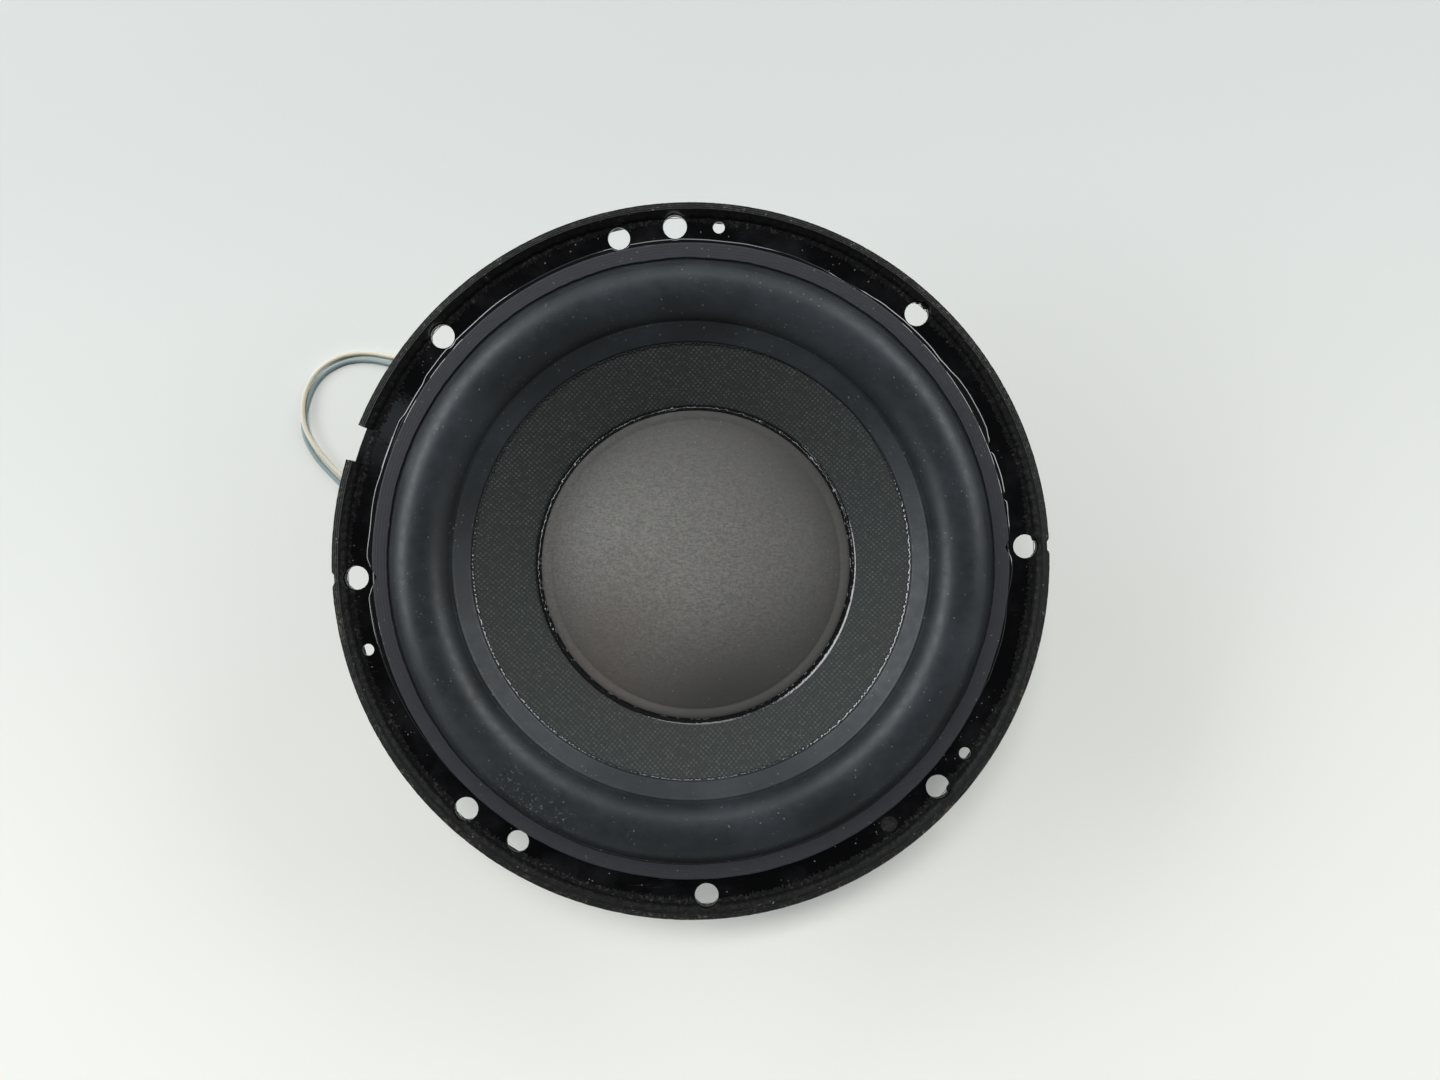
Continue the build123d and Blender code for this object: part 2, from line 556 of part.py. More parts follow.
for colour, side, route in WIRES:
    # Flat brass terminal: solder lug inside the basket, blade outside it
    with BuildPart() as terminal:
        with BuildSketch(terminal_plane(BOARD_TOP)):
            with Locations(((BLADE_FROM + BLADE_TO) / 2, side * BLADE_SIDE)):
                Rectangle(BLADE_TO - BLADE_FROM, BLADE_WIDTH)
            with Locations((EYELET_AT, side * BLADE_SIDE)):
                Circle(EYELET_R, mode=Mode.SUBTRACT)
        extrude(amount=BLADE_T)
    terminal.part.label = f"terminal_{colour}"
    export_step(terminal.part, f"parts/terminal_{colour}.step")

    # Crimped receptacle pushed onto the blade
    with BuildPart() as lug:
        with BuildSketch(terminal_plane(BLADE_MID_Z - LUG_T / 2)):
            with Locations(((LUG_FROM + LUG_BARREL_FROM) / 2, side * BLADE_SIDE)):
                Rectangle(LUG_BARREL_FROM - LUG_FROM, LUG_WIDTH)
        extrude(amount=LUG_T)
        with BuildSketch(terminal_plane(BLADE_MID_Z - BLADE_T / 2 - LUG_FIT)):
            with Locations(((LUG_FROM + BLADE_TO + LUG_FIT) / 2, side * BLADE_SIDE)):
                Rectangle(BLADE_TO + LUG_FIT - LUG_FROM, BLADE_WIDTH + 2 * LUG_FIT)
        extrude(amount=BLADE_T + 2 * LUG_FIT, mode=Mode.SUBTRACT)
        barrel_start = at_terminal(LUG_BARREL_FROM, side * BLADE_SIDE, BLADE_MID_Z)
        with BuildSketch(Plane(origin=barrel_start, z_dir=outward_plane(TERMINAL_ANGLE, 0, 0).z_dir)):
            Circle(LUG_BARREL_R)
        extrude(amount=LUG_TO - LUG_BARREL_FROM)
    lug.part.label = f"lug_{colour}"
    export_step(lug.part, f"parts/lug_{colour}.step")

    # Sleeve over the barrel
    with BuildPart() as sleeve:
        with BuildSketch(Plane(origin=barrel_start, z_dir=outward_plane(TERMINAL_ANGLE, 0, 0).z_dir)):
            Circle(LUG_BARREL_R + SLEEVE_WALL)
            Circle(LUG_BARREL_R, mode=Mode.SUBTRACT)
        extrude(amount=LUG_TO - LUG_BARREL_FROM)
    sleeve.part.label = f"lug_sleeve_{colour}"
    export_step(sleeve.part, f"parts/lug_sleeve_{colour}.step")

    # Wire from the receptacle down to the floor, round the loop and back to the plug
    wire_points = [at_terminal(*point) for point in route]
    wire_radii = corner_radii(wire_points)
    with BuildPart() as wire:
        with BuildLine() as wire_path:
            FilletPolyline(*wire_points, radius=wire_radii)
        with BuildSketch(Plane(origin=wire_points[0], z_dir=wire_points[1] - wire_points[0])):
            Circle(WIRE_D / 2)
        sweep()
    wire.part.label = f"wire_{colour}"
    export_step(wire.part, f"parts/wire_{colour}.step")
    report_cord(wire.part.label, wire, wire_path.wires()[0], WIRE_D, wire_radii)

    # Glue pad behind the cone that holds the end of the tinsel lead
    pad_angle = TERMINAL_ANGLE + side * PAD_SPREAD
    with BuildPart() as pad:
        with BuildSketch(Plane.XY.offset(PAD_LOW)):
            with PolarLocations(PAD_RING, 1, start_angle=pad_angle):
                Circle(PAD_R)
        extrude(amount=FLANGE_TOP - PAD_LOW)
        with BuildSketch(Plane.XZ):
            outline(
                (0, cone_top(0) - CONE_T), (CONE_R, CONE_EDGE_Z - CONE_T), (CONE_R, 0), (0, 0),
            )
        revolve(axis=Axis.Z, mode=Mode.INTERSECT)
    pad.part.label = f"lead_pad_{colour}"
    export_step(pad.part, f"parts/lead_pad_{colour}.step")

    # Woven tinsel lead from the solder lug to the pad
    pad_out = PAD_RING * cos(radians(PAD_SPREAD))
    pad_along = side * PAD_RING * sin(radians(PAD_SPREAD))
    tinsel_z = BLADE_TOP + TINSEL_D / 2
    tinsel_points = [
        at_terminal(66.0, side * BLADE_SIDE, tinsel_z),
        at_terminal(59.0, side * BLADE_SIDE, tinsel_z),
        at_terminal(50.5, side * (BLADE_SIDE + 1.2), tinsel_z + 4.6),
        at_terminal(42.5, side * (BLADE_SIDE + 1.6), tinsel_z + 2.8),
        at_terminal(pad_out, pad_along, PAD_LOW - 6.0),
        at_terminal(pad_out, pad_along, PAD_LOW),
    ]
    tinsel_radii = corner_radii(tinsel_points)
    with BuildPart() as tinsel:
        with BuildLine() as tinsel_path:
            FilletPolyline(*tinsel_points, radius=tinsel_radii)
        with BuildSketch(Plane(origin=tinsel_points[0], z_dir=tinsel_points[1] - tinsel_points[0])):
            Circle(TINSEL_D / 2)
        sweep()
    tinsel.part.label = f"tinsel_lead_{colour}"
    export_step(tinsel.part, f"parts/tinsel_lead_{colour}.step")
    report_cord(tinsel.part.label, tinsel, tinsel_path.wires()[0], TINSEL_D, tinsel_radii)

    # End of the coil's wire, glued along the back of the cone from the collar to the pad
    radial = outward_plane(pad_angle, 0, 0).z_dir
    leadout_drop = CONE_T + (LEADOUT_D / 2 + 0.06) / cos(radians(31.0))
    ends = [radial * r + Vector(0, 0, cone_top(r) - leadout_drop) for r in (21.0, PAD_RING - PAD_R - 0.3)]
    with BuildPart() as leadout:
        with BuildSketch(Plane(origin=ends[0], z_dir=ends[1] - ends[0])):
            Circle(LEADOUT_D / 2)
        extrude(amount=(ends[1] - ends[0]).length)
    leadout.part.label = f"coil_leadout_{colour}"
    export_step(leadout.part, f"parts/coil_leadout_{colour}.step")

# --- Plug at the far end of the lead ----------------------------------------------------------------
cream_end = at_terminal(*CREAM_ROUTE[-1])
blue_end = at_terminal(*BLUE_ROUTE[-1])
plug_way = cream_end - at_terminal(*CREAM_ROUTE[-2])
PLUG_BACK = Plane(origin=(cream_end + blue_end) / 2, x_dir=blue_end - cream_end, z_dir=plug_way)


def along_plug(distance):
    """Plane across the plug at a distance from its back face."""
    return PLUG_BACK.offset(distance)


with BuildPart() as plug_housing:
    with BuildSketch(PLUG_BACK):
        RectangleRounded(PLUG_WIDTH, PLUG_HEIGHT, 0.8)
    extrude(amount=PLUG_LENGTH)
    with BuildSketch(along_plug(PLUG_LENGTH - PLUG_CAVITY)):
        RectangleRounded(PLUG_WIDTH - 2 * PLUG_WALL, PLUG_HEIGHT - 2 * PLUG_WALL, 0.4)
    extrude(amount=PLUG_CAVITY, mode=Mode.SUBTRACT)
    with BuildSketch(along_plug(LOCK_LENGTH)):
        with Locations((0, PLUG_HEIGHT / 2 - LOCK_DEPTH / 2)):
            Rectangle(LOCK_WIDTH, LOCK_DEPTH)
    extrude(amount=LOCK_LENGTH, mode=Mode.SUBTRACT)
plug_housing.part.label = "plug_housing"
export_step(plug_housing.part, "parts/plug_housing.step")

with BuildPart() as plug_lock:
    with BuildSketch(along_plug(LOCK_LENGTH + 0.05)):
        with Locations((0, PLUG_HEIGHT / 2 - LOCK_DEPTH / 2 + 0.025)):
            Rectangle(LOCK_WIDTH - 0.1, LOCK_DEPTH - 0.05)
    extrude(amount=LOCK_LENGTH - 0.1)
plug_lock.part.label = "plug_lock"
export_step(plug_lock.part, "parts/plug_lock.step")

with BuildPart() as plug_contacts:
    with BuildSketch(along_plug(PLUG_LENGTH - PLUG_CAVITY)):
        with Locations((PLUG_PITCH / 2, 0), (-PLUG_PITCH / 2, 0)):
            Circle(PIN_R)
    extrude(amount=PIN_LENGTH)
plug_contacts.part.label = "plug_contacts"
export_step(plug_contacts.part, "parts/plug_contacts.step")
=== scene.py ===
"""Visual model of a car subwoofer driver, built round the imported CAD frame."""

import logging
import math
from collections.abc import Callable, Iterator, Sequence
from dataclasses import dataclass, field
from enum import Enum

import bmesh
import bpy
import numpy as np
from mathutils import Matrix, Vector, noise


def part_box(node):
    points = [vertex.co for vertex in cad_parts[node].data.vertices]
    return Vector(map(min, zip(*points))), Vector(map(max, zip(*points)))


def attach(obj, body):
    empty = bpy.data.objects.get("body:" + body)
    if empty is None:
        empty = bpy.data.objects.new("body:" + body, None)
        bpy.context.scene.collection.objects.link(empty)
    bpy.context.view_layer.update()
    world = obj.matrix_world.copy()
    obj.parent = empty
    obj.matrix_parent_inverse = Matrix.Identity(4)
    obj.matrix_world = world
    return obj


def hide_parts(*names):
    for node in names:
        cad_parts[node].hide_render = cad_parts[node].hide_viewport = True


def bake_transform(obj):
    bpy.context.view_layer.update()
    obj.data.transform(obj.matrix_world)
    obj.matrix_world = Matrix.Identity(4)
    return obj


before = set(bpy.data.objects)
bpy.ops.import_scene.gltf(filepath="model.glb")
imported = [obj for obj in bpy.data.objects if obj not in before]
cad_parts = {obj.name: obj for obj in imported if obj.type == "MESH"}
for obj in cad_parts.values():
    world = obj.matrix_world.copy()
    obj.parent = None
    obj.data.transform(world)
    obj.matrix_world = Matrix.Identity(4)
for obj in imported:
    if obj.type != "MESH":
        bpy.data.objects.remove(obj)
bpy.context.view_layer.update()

log = logging.getLogger("subwoofer")
MM = 0.001
FRAME_BODY = "frame"
MOVING_BODY = "cone_assembly"
FLANGE_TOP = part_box("basket")[1][2]
SHELF_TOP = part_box("terminal_board")[0][2]
TURN = 2 * math.pi
CONE_EDGE = 72.6 * MM
CONE_SLOPE = math.tan(math.radians(31.0))
TERMINAL_ANGLE = math.radians(150.0)
BOLT_RING, BOLTS, BOLT_HOLE_R = 101.35 * MM, 8, 3.6 * MM
# Ring radius, angle and radius of every hole in the flange
FLANGE_HOLES = [(BOLT_RING, TURN * k / BOLTS, BOLT_HOLE_R) for k in range(BOLTS)]
FLANGE_HOLES += [(ring * MM, math.radians(turn), hole * MM) for ring, turn, hole in (
    (100.05, 99.8, 3.35), (99.85, 235.5, 3.35), (99.9, 304.4, 2.6),
    (101.4, 82.5, 1.8), (101.4, 192.5, 1.8), (101.4, 322.4, 1.8),
)]

Socket = bpy.types.NodeSocket
Nodes = bpy.types.NodeTree
Object = bpy.types.Object
Settings = dict[str, str | bool]
Value = float | Socket
Colour = tuple[float, float, float]
Point = tuple[float, float]
Points = Sequence[Point]
Place = tuple[float, float, float]
Grid = np.ndarray
Shifted = tuple[Grid, Grid]
Shift = Callable[[Grid, Grid, Grid], Shifted]


# --- Shading ----------------------------------------------------------------------------------------
def feed(tree: Nodes, socket: Socket, value: Value | tuple) -> None:
    """Link a socket or set its constant.

    Args:
        tree: The tree that holds the socket.
        socket: The input to feed.
        value: Another node's output, a number, a vector or a colour.
    """
    if isinstance(value, bpy.types.NodeSocket):
        tree.links.new(value, socket)
    elif isinstance(value, tuple) and len(socket.default_value) == 4:
        socket.default_value = (*value, 1.0)
    else:
        socket.default_value = value


def add_node(tree: Nodes, kind: str, settings: Settings | None = None,
             **inputs: Value | tuple) -> bpy.types.Node:
    """Add one node and feed its inputs.

    Args:
        tree: The tree that gets it.
        kind: The node's type.
        settings: Its properties.
        inputs: Its inputs by name, with underscores for spaces.

    Returns:
        The node.
    """
    node = tree.nodes.new(kind)
    for key, value in (settings or {}).items():
        setattr(node, key, value)
    for label, value in inputs.items():
        wanted = label.replace("_", " ")
        feed(tree, next(s for s in node.inputs if s.name == wanted and s.enabled), value)
    return node


def chain_math(tree: Nodes, operation: str, values: Sequence[Value], clamp: bool = False) -> Socket:
    """Result of one Math node.

    Args:
        tree: The tree that gets it.
        operation: The node's operation.
        values: Its inputs in order.
        clamp: Whether the result is held between 0 and 1.

    Returns:
        The node's output.
    """
    node = add_node(tree, "ShaderNodeMath", {"operation": operation, "use_clamp": clamp})
    for socket, value in zip(node.inputs, values):
        feed(tree, socket, value)
    return node.outputs[0]


class Shader:
    """Node tree of one material, with short calls for the nodes that the finishes use."""

    def __init__(self, name: str) -> None:
        """Start a material that holds only a Principled shader.

        Args:
            name: The material's name.
        """
        self.material = bpy.data.materials.new(name)
        self.material.use_nodes = True
        self.tree = self.material.node_tree
        self.tree.nodes.clear()
        output = self.tree.nodes.new("ShaderNodeOutputMaterial")
        self.surface = self.tree.nodes.new("ShaderNodeBsdfPrincipled")
        self.tree.links.new(self.surface.outputs["BSDF"], output.inputs["Surface"])
        self.place = self.tree.nodes.new("ShaderNodeTexCoord").outputs["Object"]

    def set(self, **inputs: Value | Colour) -> None:
        """Feed the Principled shader's inputs, named with underscores for spaces."""
        for name, value in inputs.items():
            feed(self.tree, self.surface.inputs[name.replace("_", " ")], value)

    def math(self, operation: str, *values: Value, clamp: bool = False) -> Socket:
        """Result of one Math node.

        Args:
            operation: The node's operation.
            values: Its inputs in order.
            clamp: Whether the result is held between 0 and 1.

        Returns:
            The node's output.
        """
        return chain_math(self.tree, operation, values, clamp)

    def times(self, first: Value, second: Value) -> Socket:
        """Product of two values."""
        return self.math("MULTIPLY", first, second)

    def away(self, x: Value, y: Value) -> Socket:
        """Length of a vector in the plan."""
        return self.math("SQRT", self.math("ADD", self.times(x, x), self.times(y, y)))

    def noise(self, scale: float, detail: float = 3.0, rough: float = 0.5,
              where: Socket | None = None) -> Socket:
        """Fractal noise between 0 and 1.

        Args:
            scale: Features per metre.
            detail: Octaves.
            rough: Weight of the finer octaves.
            where: Coordinates, or None for the object's own.

        Returns:
            The noise value.
        """
        node = add_node(self.tree, "ShaderNodeTexNoise", Vector=where or self.place, Scale=scale,
                        Detail=detail, Roughness=rough)
        return node.outputs[0]

    def streaks(self, scale: Place, turn: float, detail: float = 2.0, rough: float = 0.5) -> Socket:
        """Noise drawn out into streaks.

        Args:
            scale: Features per metre along X, Y and Z, before the turn.
            turn: Turn about Z in radians.
            detail: Octaves.
            rough: Weight of the finer octaves.

        Returns:
            The noise value.
        """
        mapped = {"Vector": self.place, "Scale": scale, "Rotation": (0.0, 0.0, turn)}
        where = add_node(self.tree, "ShaderNodeMapping", None, **mapped).outputs[0]
        return self.noise(1.0, detail, rough, where)

    def cells(self, scale: float) -> Socket:
        """Distance to the nearest point of a Voronoi pattern.

        Args:
            scale: Cells per metre.

        Returns:
            The distance value.
        """
        node = add_node(self.tree, "ShaderNodeTexVoronoi", Vector=self.place, Scale=scale)
        return node.outputs["Distance"]

    def span(self, value: Value, low: float, high: float, to_low: float = 0.0,
             to_high: float = 1.0) -> Socket:
        """Value mapped smoothly from one span to another.

        Args:
            value: What is mapped.
            low: Start of its span.
            high: End of its span.
            to_low: Result at the start.
            to_high: Result at the end.

        Returns:
            The mapped value.
        """
        node = add_node(self.tree, "ShaderNodeMapRange", {"interpolation_type": "SMOOTHSTEP"}, Value=value,
                        From_Min=low, From_Max=high, To_Min=to_low, To_Max=to_high)
        return node.outputs[0]

    def mix(self, factor: Value, first: Value | Colour, second: Value | Colour) -> Socket:
        """Mix of two colours.

        Args:
            factor: Share of the second.
            first: Colour at 0.
            second: Colour at 1.

        Returns:
            The mixed colour.
        """
        node = add_node(self.tree, "ShaderNodeMix", {"data_type": "RGBA"})
        for number, value in ((0, factor), (6, first), (7, second)):
            feed(self.tree, node.inputs[number], value)
        return node.outputs[2]

    def lay(self, under: Value | Colour, mask: Value, share: Value, over: Value | Colour) -> Socket:
        """Colour with a share of another laid over it where a mask says.

        Args:
            under: Colour below.
            mask: Where the other shows.
            share: How much of it shows there.
            over: Colour laid on top.

        Returns:
            The mixed colour.
        """
        return self.mix(self.times(mask, share), under, over)

    def axes(self) -> tuple[Socket, Socket, Socket]:
        """X, Y and Z of the object coordinates."""
        node = self.tree.nodes.new("ShaderNodeSeparateXYZ")
        self.tree.links.new(self.place, node.inputs[0])
        return node.outputs[0], node.outputs[1], node.outputs[2]

    def radius(self) -> Socket:
        """Distance from the driver's axis in metres."""
        x, y, _ = self.axes()
        return self.away(x, y)

    def near(self, x: float, y: float, reach: float) -> Socket:
        """1 at a point of the plan, falling to 0 at a reach from it.

        Args:
            x: The point's X in metres.
            y: Its Y.
            reach: Where the value is 0.

        Returns:
            The falling value.
        """
        px, py, _ = self.axes()
        away = self.away(self.math("SUBTRACT", px, x), self.math("SUBTRACT", py, y))
        return self.span(away, 0.0, reach, 1.0, 0.0)

    def specks(self, scale: float, size: float, share: float) -> Socket:
        """Sparse dust specks, 1 on a speck and 0 between.

        Args:
            scale: Cells per metre.
            size: A speck's radius as a share of its cell.
            share: Noise level above which specks show, so a higher value means fewer.

        Returns:
            The speck mask.
        """
        dots = self.span(self.cells(scale), size * 0.5, size, 1.0, 0.0)
        patches = self.span(self.noise(scale * 0.31, 2.0), share, share + 0.06)
        return self.times(dots, patches)

    def bump(self, height: Socket, distance: float, strength: float = 1.0) -> None:
        """Raise the surface by a height map, on top of any earlier bump.

        Args:
            height: The map.
            distance: Height in metres of a map value of 1.
            strength: Share of the effect.
        """
        node = add_node(self.tree, "ShaderNodeBump", Height=height, Distance=distance, Strength=strength)
        normal = self.surface.inputs["Normal"]
        if normal.links:
            self.tree.links.new(normal.links[0].from_socket, node.inputs["Normal"])
        self.tree.links.new(node.outputs["Normal"], normal)


@dataclass(frozen=True)
class Finish:
    """What every finish has: its name, its record slot, its colour and its roughness."""

    name: str
    slot: str
    colour: Colour
    rough: float = 0.5

    def toned(self, shade: float) -> Colour:
        """The finish's colour, darker below a shade of 1 and paler above."""
        return tuple(shade * c for c in self.colour)

    def dress(self, shader: Shader) -> None:
        """Lay the finish's nodes into a shader; each finish has its own.

        Args:
            shader: The tree to fill.
        """
        raise NotImplementedError

    def material(self) -> bpy.types.Material:
        """Material of this finish, made once.

        Returns:
            The finished material.
        """
        known = bpy.data.materials.get(self.name)
        if known:
            return known
        shader = Shader(self.name)
        shader.set(Base_Color=self.colour, Roughness=self.rough)
        self.dress(shader)
        shader.material.diffuse_color = (*self.colour, 1.0)
        return shader.material


@dataclass(frozen=True)
class Enamel(Finish):
    """Gloss black coat on pressed steel, with haze, hairlines and dust."""

    def dress(self, shader: Shader) -> None:
        """Lay coat, haze, hairlines and dust."""
        haze = shader.noise(60.0, 5.0, 0.6)
        hairs = [
            shader.span(shader.streaks((70.0, 2600.0, 900.0), turn), 0.70, 0.78) for turn in (0.35, 1.4, 2.3)
        ]
        scratches = shader.math("MAXIMUM", shader.math("MAXIMUM", hairs[0], hairs[1]), hairs[2])
        scratches = shader.times(scratches, shader.span(shader.noise(45.0, 2.0), 0.5, 0.68))
        dust = shader.specks(520.0, 0.16, 0.5)
        film = shader.span(haze, 0.42, 0.75)
        colour = shader.lay(self.colour, film, 0.35, (0.022, 0.022, 0.024))
        colour = shader.lay(colour, scratches, 0.35, (0.12, 0.12, 0.12))
        colour = shader.lay(colour, dust, 0.5, (0.22, 0.21, 0.19))
        rough = shader.span(haze, 0.3, 0.75, self.rough, self.rough + 0.08)
        rough = shader.math("ADD", rough, shader.times(dust, 0.4), clamp=True)
        shader.set(Base_Color=colour, Roughness=rough, Specular_IOR_Level=0.5)
        shader.bump(shader.noise(900.0, 2.0), 0.00004, 0.25)
        shader.bump(scratches, -0.00003, 0.3)


@dataclass(frozen=True)
class DustyRubber(Finish):
    """Matt black rubber or foam with brownish dust in its grain."""

    dust: Colour = (0.16, 0.135, 0.11)
    grain: float = 900.0
    height: float = 0.0003
    share: float = 0.55
    rim_from: float = 105.2 * MM
    shine: float = 0.22

    def dress(self, shader: Shader) -> None:
        """Lay grain, dust and crumbs; on the seal's outer crown the dust is partly a painted highlight."""
        grain = shader.noise(self.grain, 5.0, 0.7)
        patches = shader.noise(60.0, 4.0, 0.65)
        fuzz = shader.span(shader.noise(850.0, 5.0, 0.75), 0.50, 0.66)
        # The dust is laid thickest on the seal's outer crown and on its top, where it is partly real dust and
        # partly a painted highlight along the crown.
        thick = shader.span(shader.radius(), self.rim_from, self.rim_from + 1.6 * MM, 0.2, 1.0)
        dusty = shader.times(fuzz, shader.span(patches, 0.36, 0.66, 0.2, 1.0))
        crumbs = shader.specks(700.0, 0.24, 0.56)
        on_top = shader.span(shader.axes()[2], 81.5 * MM, 83.5 * MM, 0.25, 1.0)
        share = shader.times(on_top, self.share)
        colour = shader.lay(self.colour, shader.times(dusty, thick), share, self.dust)
        colour = shader.lay(colour, crumbs, shader.times(on_top, 0.55), (0.24, 0.22, 0.19))
        shader.set(Base_Color=colour, Roughness=shader.span(grain, 0.3, 0.7, self.rough, self.rough + 0.15))
        shader.set(Specular_IOR_Level=self.shine)
        shader.bump(grain, self.height, 0.9)


@dataclass(frozen=True)
class RollRubber(Finish):
    """Satin blue-grey rubber of the surround: fine rings on the outer land, specks and a scuff."""

    land_from: float = 91.5 * MM
    ring_pitch: float = 0.55 * MM
    # Place and reach of each patch where the rubber is rubbed
    scuffs: tuple[Place, ...] = (
        (-58.0 * MM, -63.0 * MM, 8 * MM), (-50.5 * MM, -70.5 * MM, 9 * MM), (-42.0 * MM, -75.5 * MM, 7 * MM),
    )

    def dress(self, shader: Shader) -> None:
        """Lay land tint, rings, smudges, specks and scuffs."""
        radius = shader.radius()
        land = shader.span(radius, self.land_from - 0.0004, self.land_from)
        smudge = shader.noise(38.0, 5.0, 0.62)
        mottle = shader.noise(330.0, 4.0, 0.6)
        colour = shader.mix(shader.span(smudge, 0.35, 0.7), self.toned(0.8),
                            self.toned(1.4))
        colour = shader.lay(colour, land, 0.85, (0.029, 0.0295, 0.0345))
        dust = shader.math("MAXIMUM", shader.specks(420.0, 0.13, 0.47), shader.specks(900.0, 0.16, 0.56))
        colour = shader.lay(colour, dust, 0.38, (0.24, 0.24, 0.23))
        flecks = shader.span(shader.noise(820.0, 4.0, 0.75), 0.57, 0.66)
        for x, y, reach in self.scuffs:
            scuff = shader.times(shader.near(x, y, reach), flecks)
            colour = shader.lay(colour, scuff, 0.75, (0.22, 0.225, 0.21))
        rough = shader.span(mottle, 0.3, 0.7, self.rough - 0.04, self.rough + 0.08)
        rough = shader.math("ADD", rough, shader.times(land, 0.1), clamp=True)
        shader.set(Base_Color=colour, Roughness=rough, Specular_IOR_Level=0.5)
        rings = shader.math("SINE", shader.times(radius, TURN / self.ring_pitch))
        shader.bump(shader.times(rings, shader.times(land, mottle)), 0.00003, 0.35)
        shader.bump(mottle, 0.00005, 0.35)


@dataclass(frozen=True)
class WovenCloth(Finish):
    """Coated cone cloth: a fine plain weave pressed from a flat sheet."""

    pitch: float = 1.56 * MM
    thread: Colour = (0.062, 0.070, 0.066)

    def dress(self, shader: Shader) -> None:
        """Lay the weave, its uneven threads, light knots and faint scratches."""
        x, y, _ = shader.axes()
        wander = shader.times(shader.noise(60.0, 2.0), 3.0)
        waves = []
        for axis in (x, y):
            phase = shader.math("ADD", shader.times(axis, TURN / self.pitch), wander)
            waves.append(shader.math("SINE", phase))
        knots = shader.span(shader.times(waves[0], waves[1]), -0.15, 0.6)
        lumps = shader.span(shader.noise(520.0, 4.0, 0.7), 0.36, 0.64)
        lift = shader.times(knots, shader.math("MULTIPLY_ADD", lumps, 1.0, 0.05))
        shade = shader.noise(26.0, 4.0, 0.6)
        colour = shader.mix(lift, self.colour, self.thread)
        colour = shader.lay(colour, shader.span(shade, 0.42, 0.75), 0.35, (0.03, 0.028, 0.025))
        specks = shader.math("MAXIMUM", shader.specks(620.0, 0.2, 0.52), shader.specks(230.0, 0.07, 0.5))
        colour = shader.lay(colour, specks, 0.3, (0.2, 0.2, 0.18))
        marks = shader.span(shader.streaks((330.0, 1500.0, 700.0), 0.5), 0.73, 0.77)
        colour = shader.lay(colour, marks, 0.22, (0.2, 0.2, 0.19))
        shader.set(Base_Color=colour, Roughness=self.rough, Specular_IOR_Level=0.35)
        shader.bump(lift, 0.00016, 0.8)


@dataclass(frozen=True)
class PressedFibre(Finish):
    """Mottled grey pressed fibre of the dust cap, browner on one side, with painted light and shade over the
    dome.
    """

    warm: Colour = (0.085, 0.062, 0.05)
    # Place and reach of each patch of painted light on the dome, and how much paler it is painted as a
    # highlight, or darker as painted shade
    patches: tuple[tuple[float, float, float, float], ...] = (
        (-33.0 * MM, 8.0 * MM, 34 * MM, 0.26), (37.0 * MM, -2.0 * MM, 30 * MM, 0.2),
        (6.0 * MM, -40.0 * MM, 32 * MM, -0.3),
    )

    def dress(self, shader: Shader) -> None:
        """Lay fibres, mottling, painted light and shade on the dome, and the warm side."""
        fine = shader.noise(1150.0, 5.0, 0.8)
        cloud = shader.noise(55.0, 4.0, 0.6)
        fibres = shader.streaks((500.0, 1900.0, 900.0), 0.9, 3.0, 0.6)
        grain = shader.math("ADD", shader.times(fine, 0.65), shader.times(fibres, 0.35))
        dark = self.toned(0.55)
        colour = shader.mix(shader.span(grain, 0.39, 0.61), dark, self.colour)
        # Painted shade: the dome is painted paler near its middle and darker towards its edge, and the
        # patches add painted highlights at the sides and painted shade below.
        tarnish_and_painted_light = shader.near(-7.0 * MM, -1.0 * MM, 68 * MM)
        for x, y, reach, change in self.patches:
            tarnish_and_painted_light = shader.math("ADD", tarnish_and_painted_light, shader.times(shader.near(x, y, reach), change))
        colour = shader.mix(tarnish_and_painted_light, self.toned(0.3), colour)
        side = shader.near(-24.0 * MM, -26.0 * MM, 34 * MM)
        colour = shader.lay(colour, side, shader.span(cloud, 0.2, 0.7, 0.1, 0.45), self.warm)
        colour = shader.lay(colour, shader.specks(500.0, 0.13, 0.5), 0.4, (0.3, 0.28, 0.25))
        shader.set(Base_Color=colour, Sheen_Weight=0.12, Sheen_Roughness=0.5)
        shader.set(Roughness=shader.span(grain, 0.3, 0.7, self.rough - 0.08, self.rough + 0.06))
        shader.bump(grain, 0.00014, 0.8)


@dataclass(frozen=True)
class Glue(Finish):
    """Glossy black adhesive with a slightly uneven skin."""

    grain: float = 900.0
    height: float = 0.00008

    def dress(self, shader: Shader) -> None:
        """Lay the skin's ripples and dust."""
        ripple = shader.noise(self.grain, 3.0, 0.55)
        dust = shader.specks(800.0, 0.14, 0.58)
        shader.set(Base_Color=shader.lay(self.colour, dust, 0.2, (0.3, 0.29, 0.27)))
        shader.set(Roughness=shader.span(ripple, 0.3, 0.8, self.rough, self.rough + 0.1))
        shader.set(Specular_IOR_Level=1.0, IOR=1.65)
        shader.bump(ripple, self.height, 0.8)


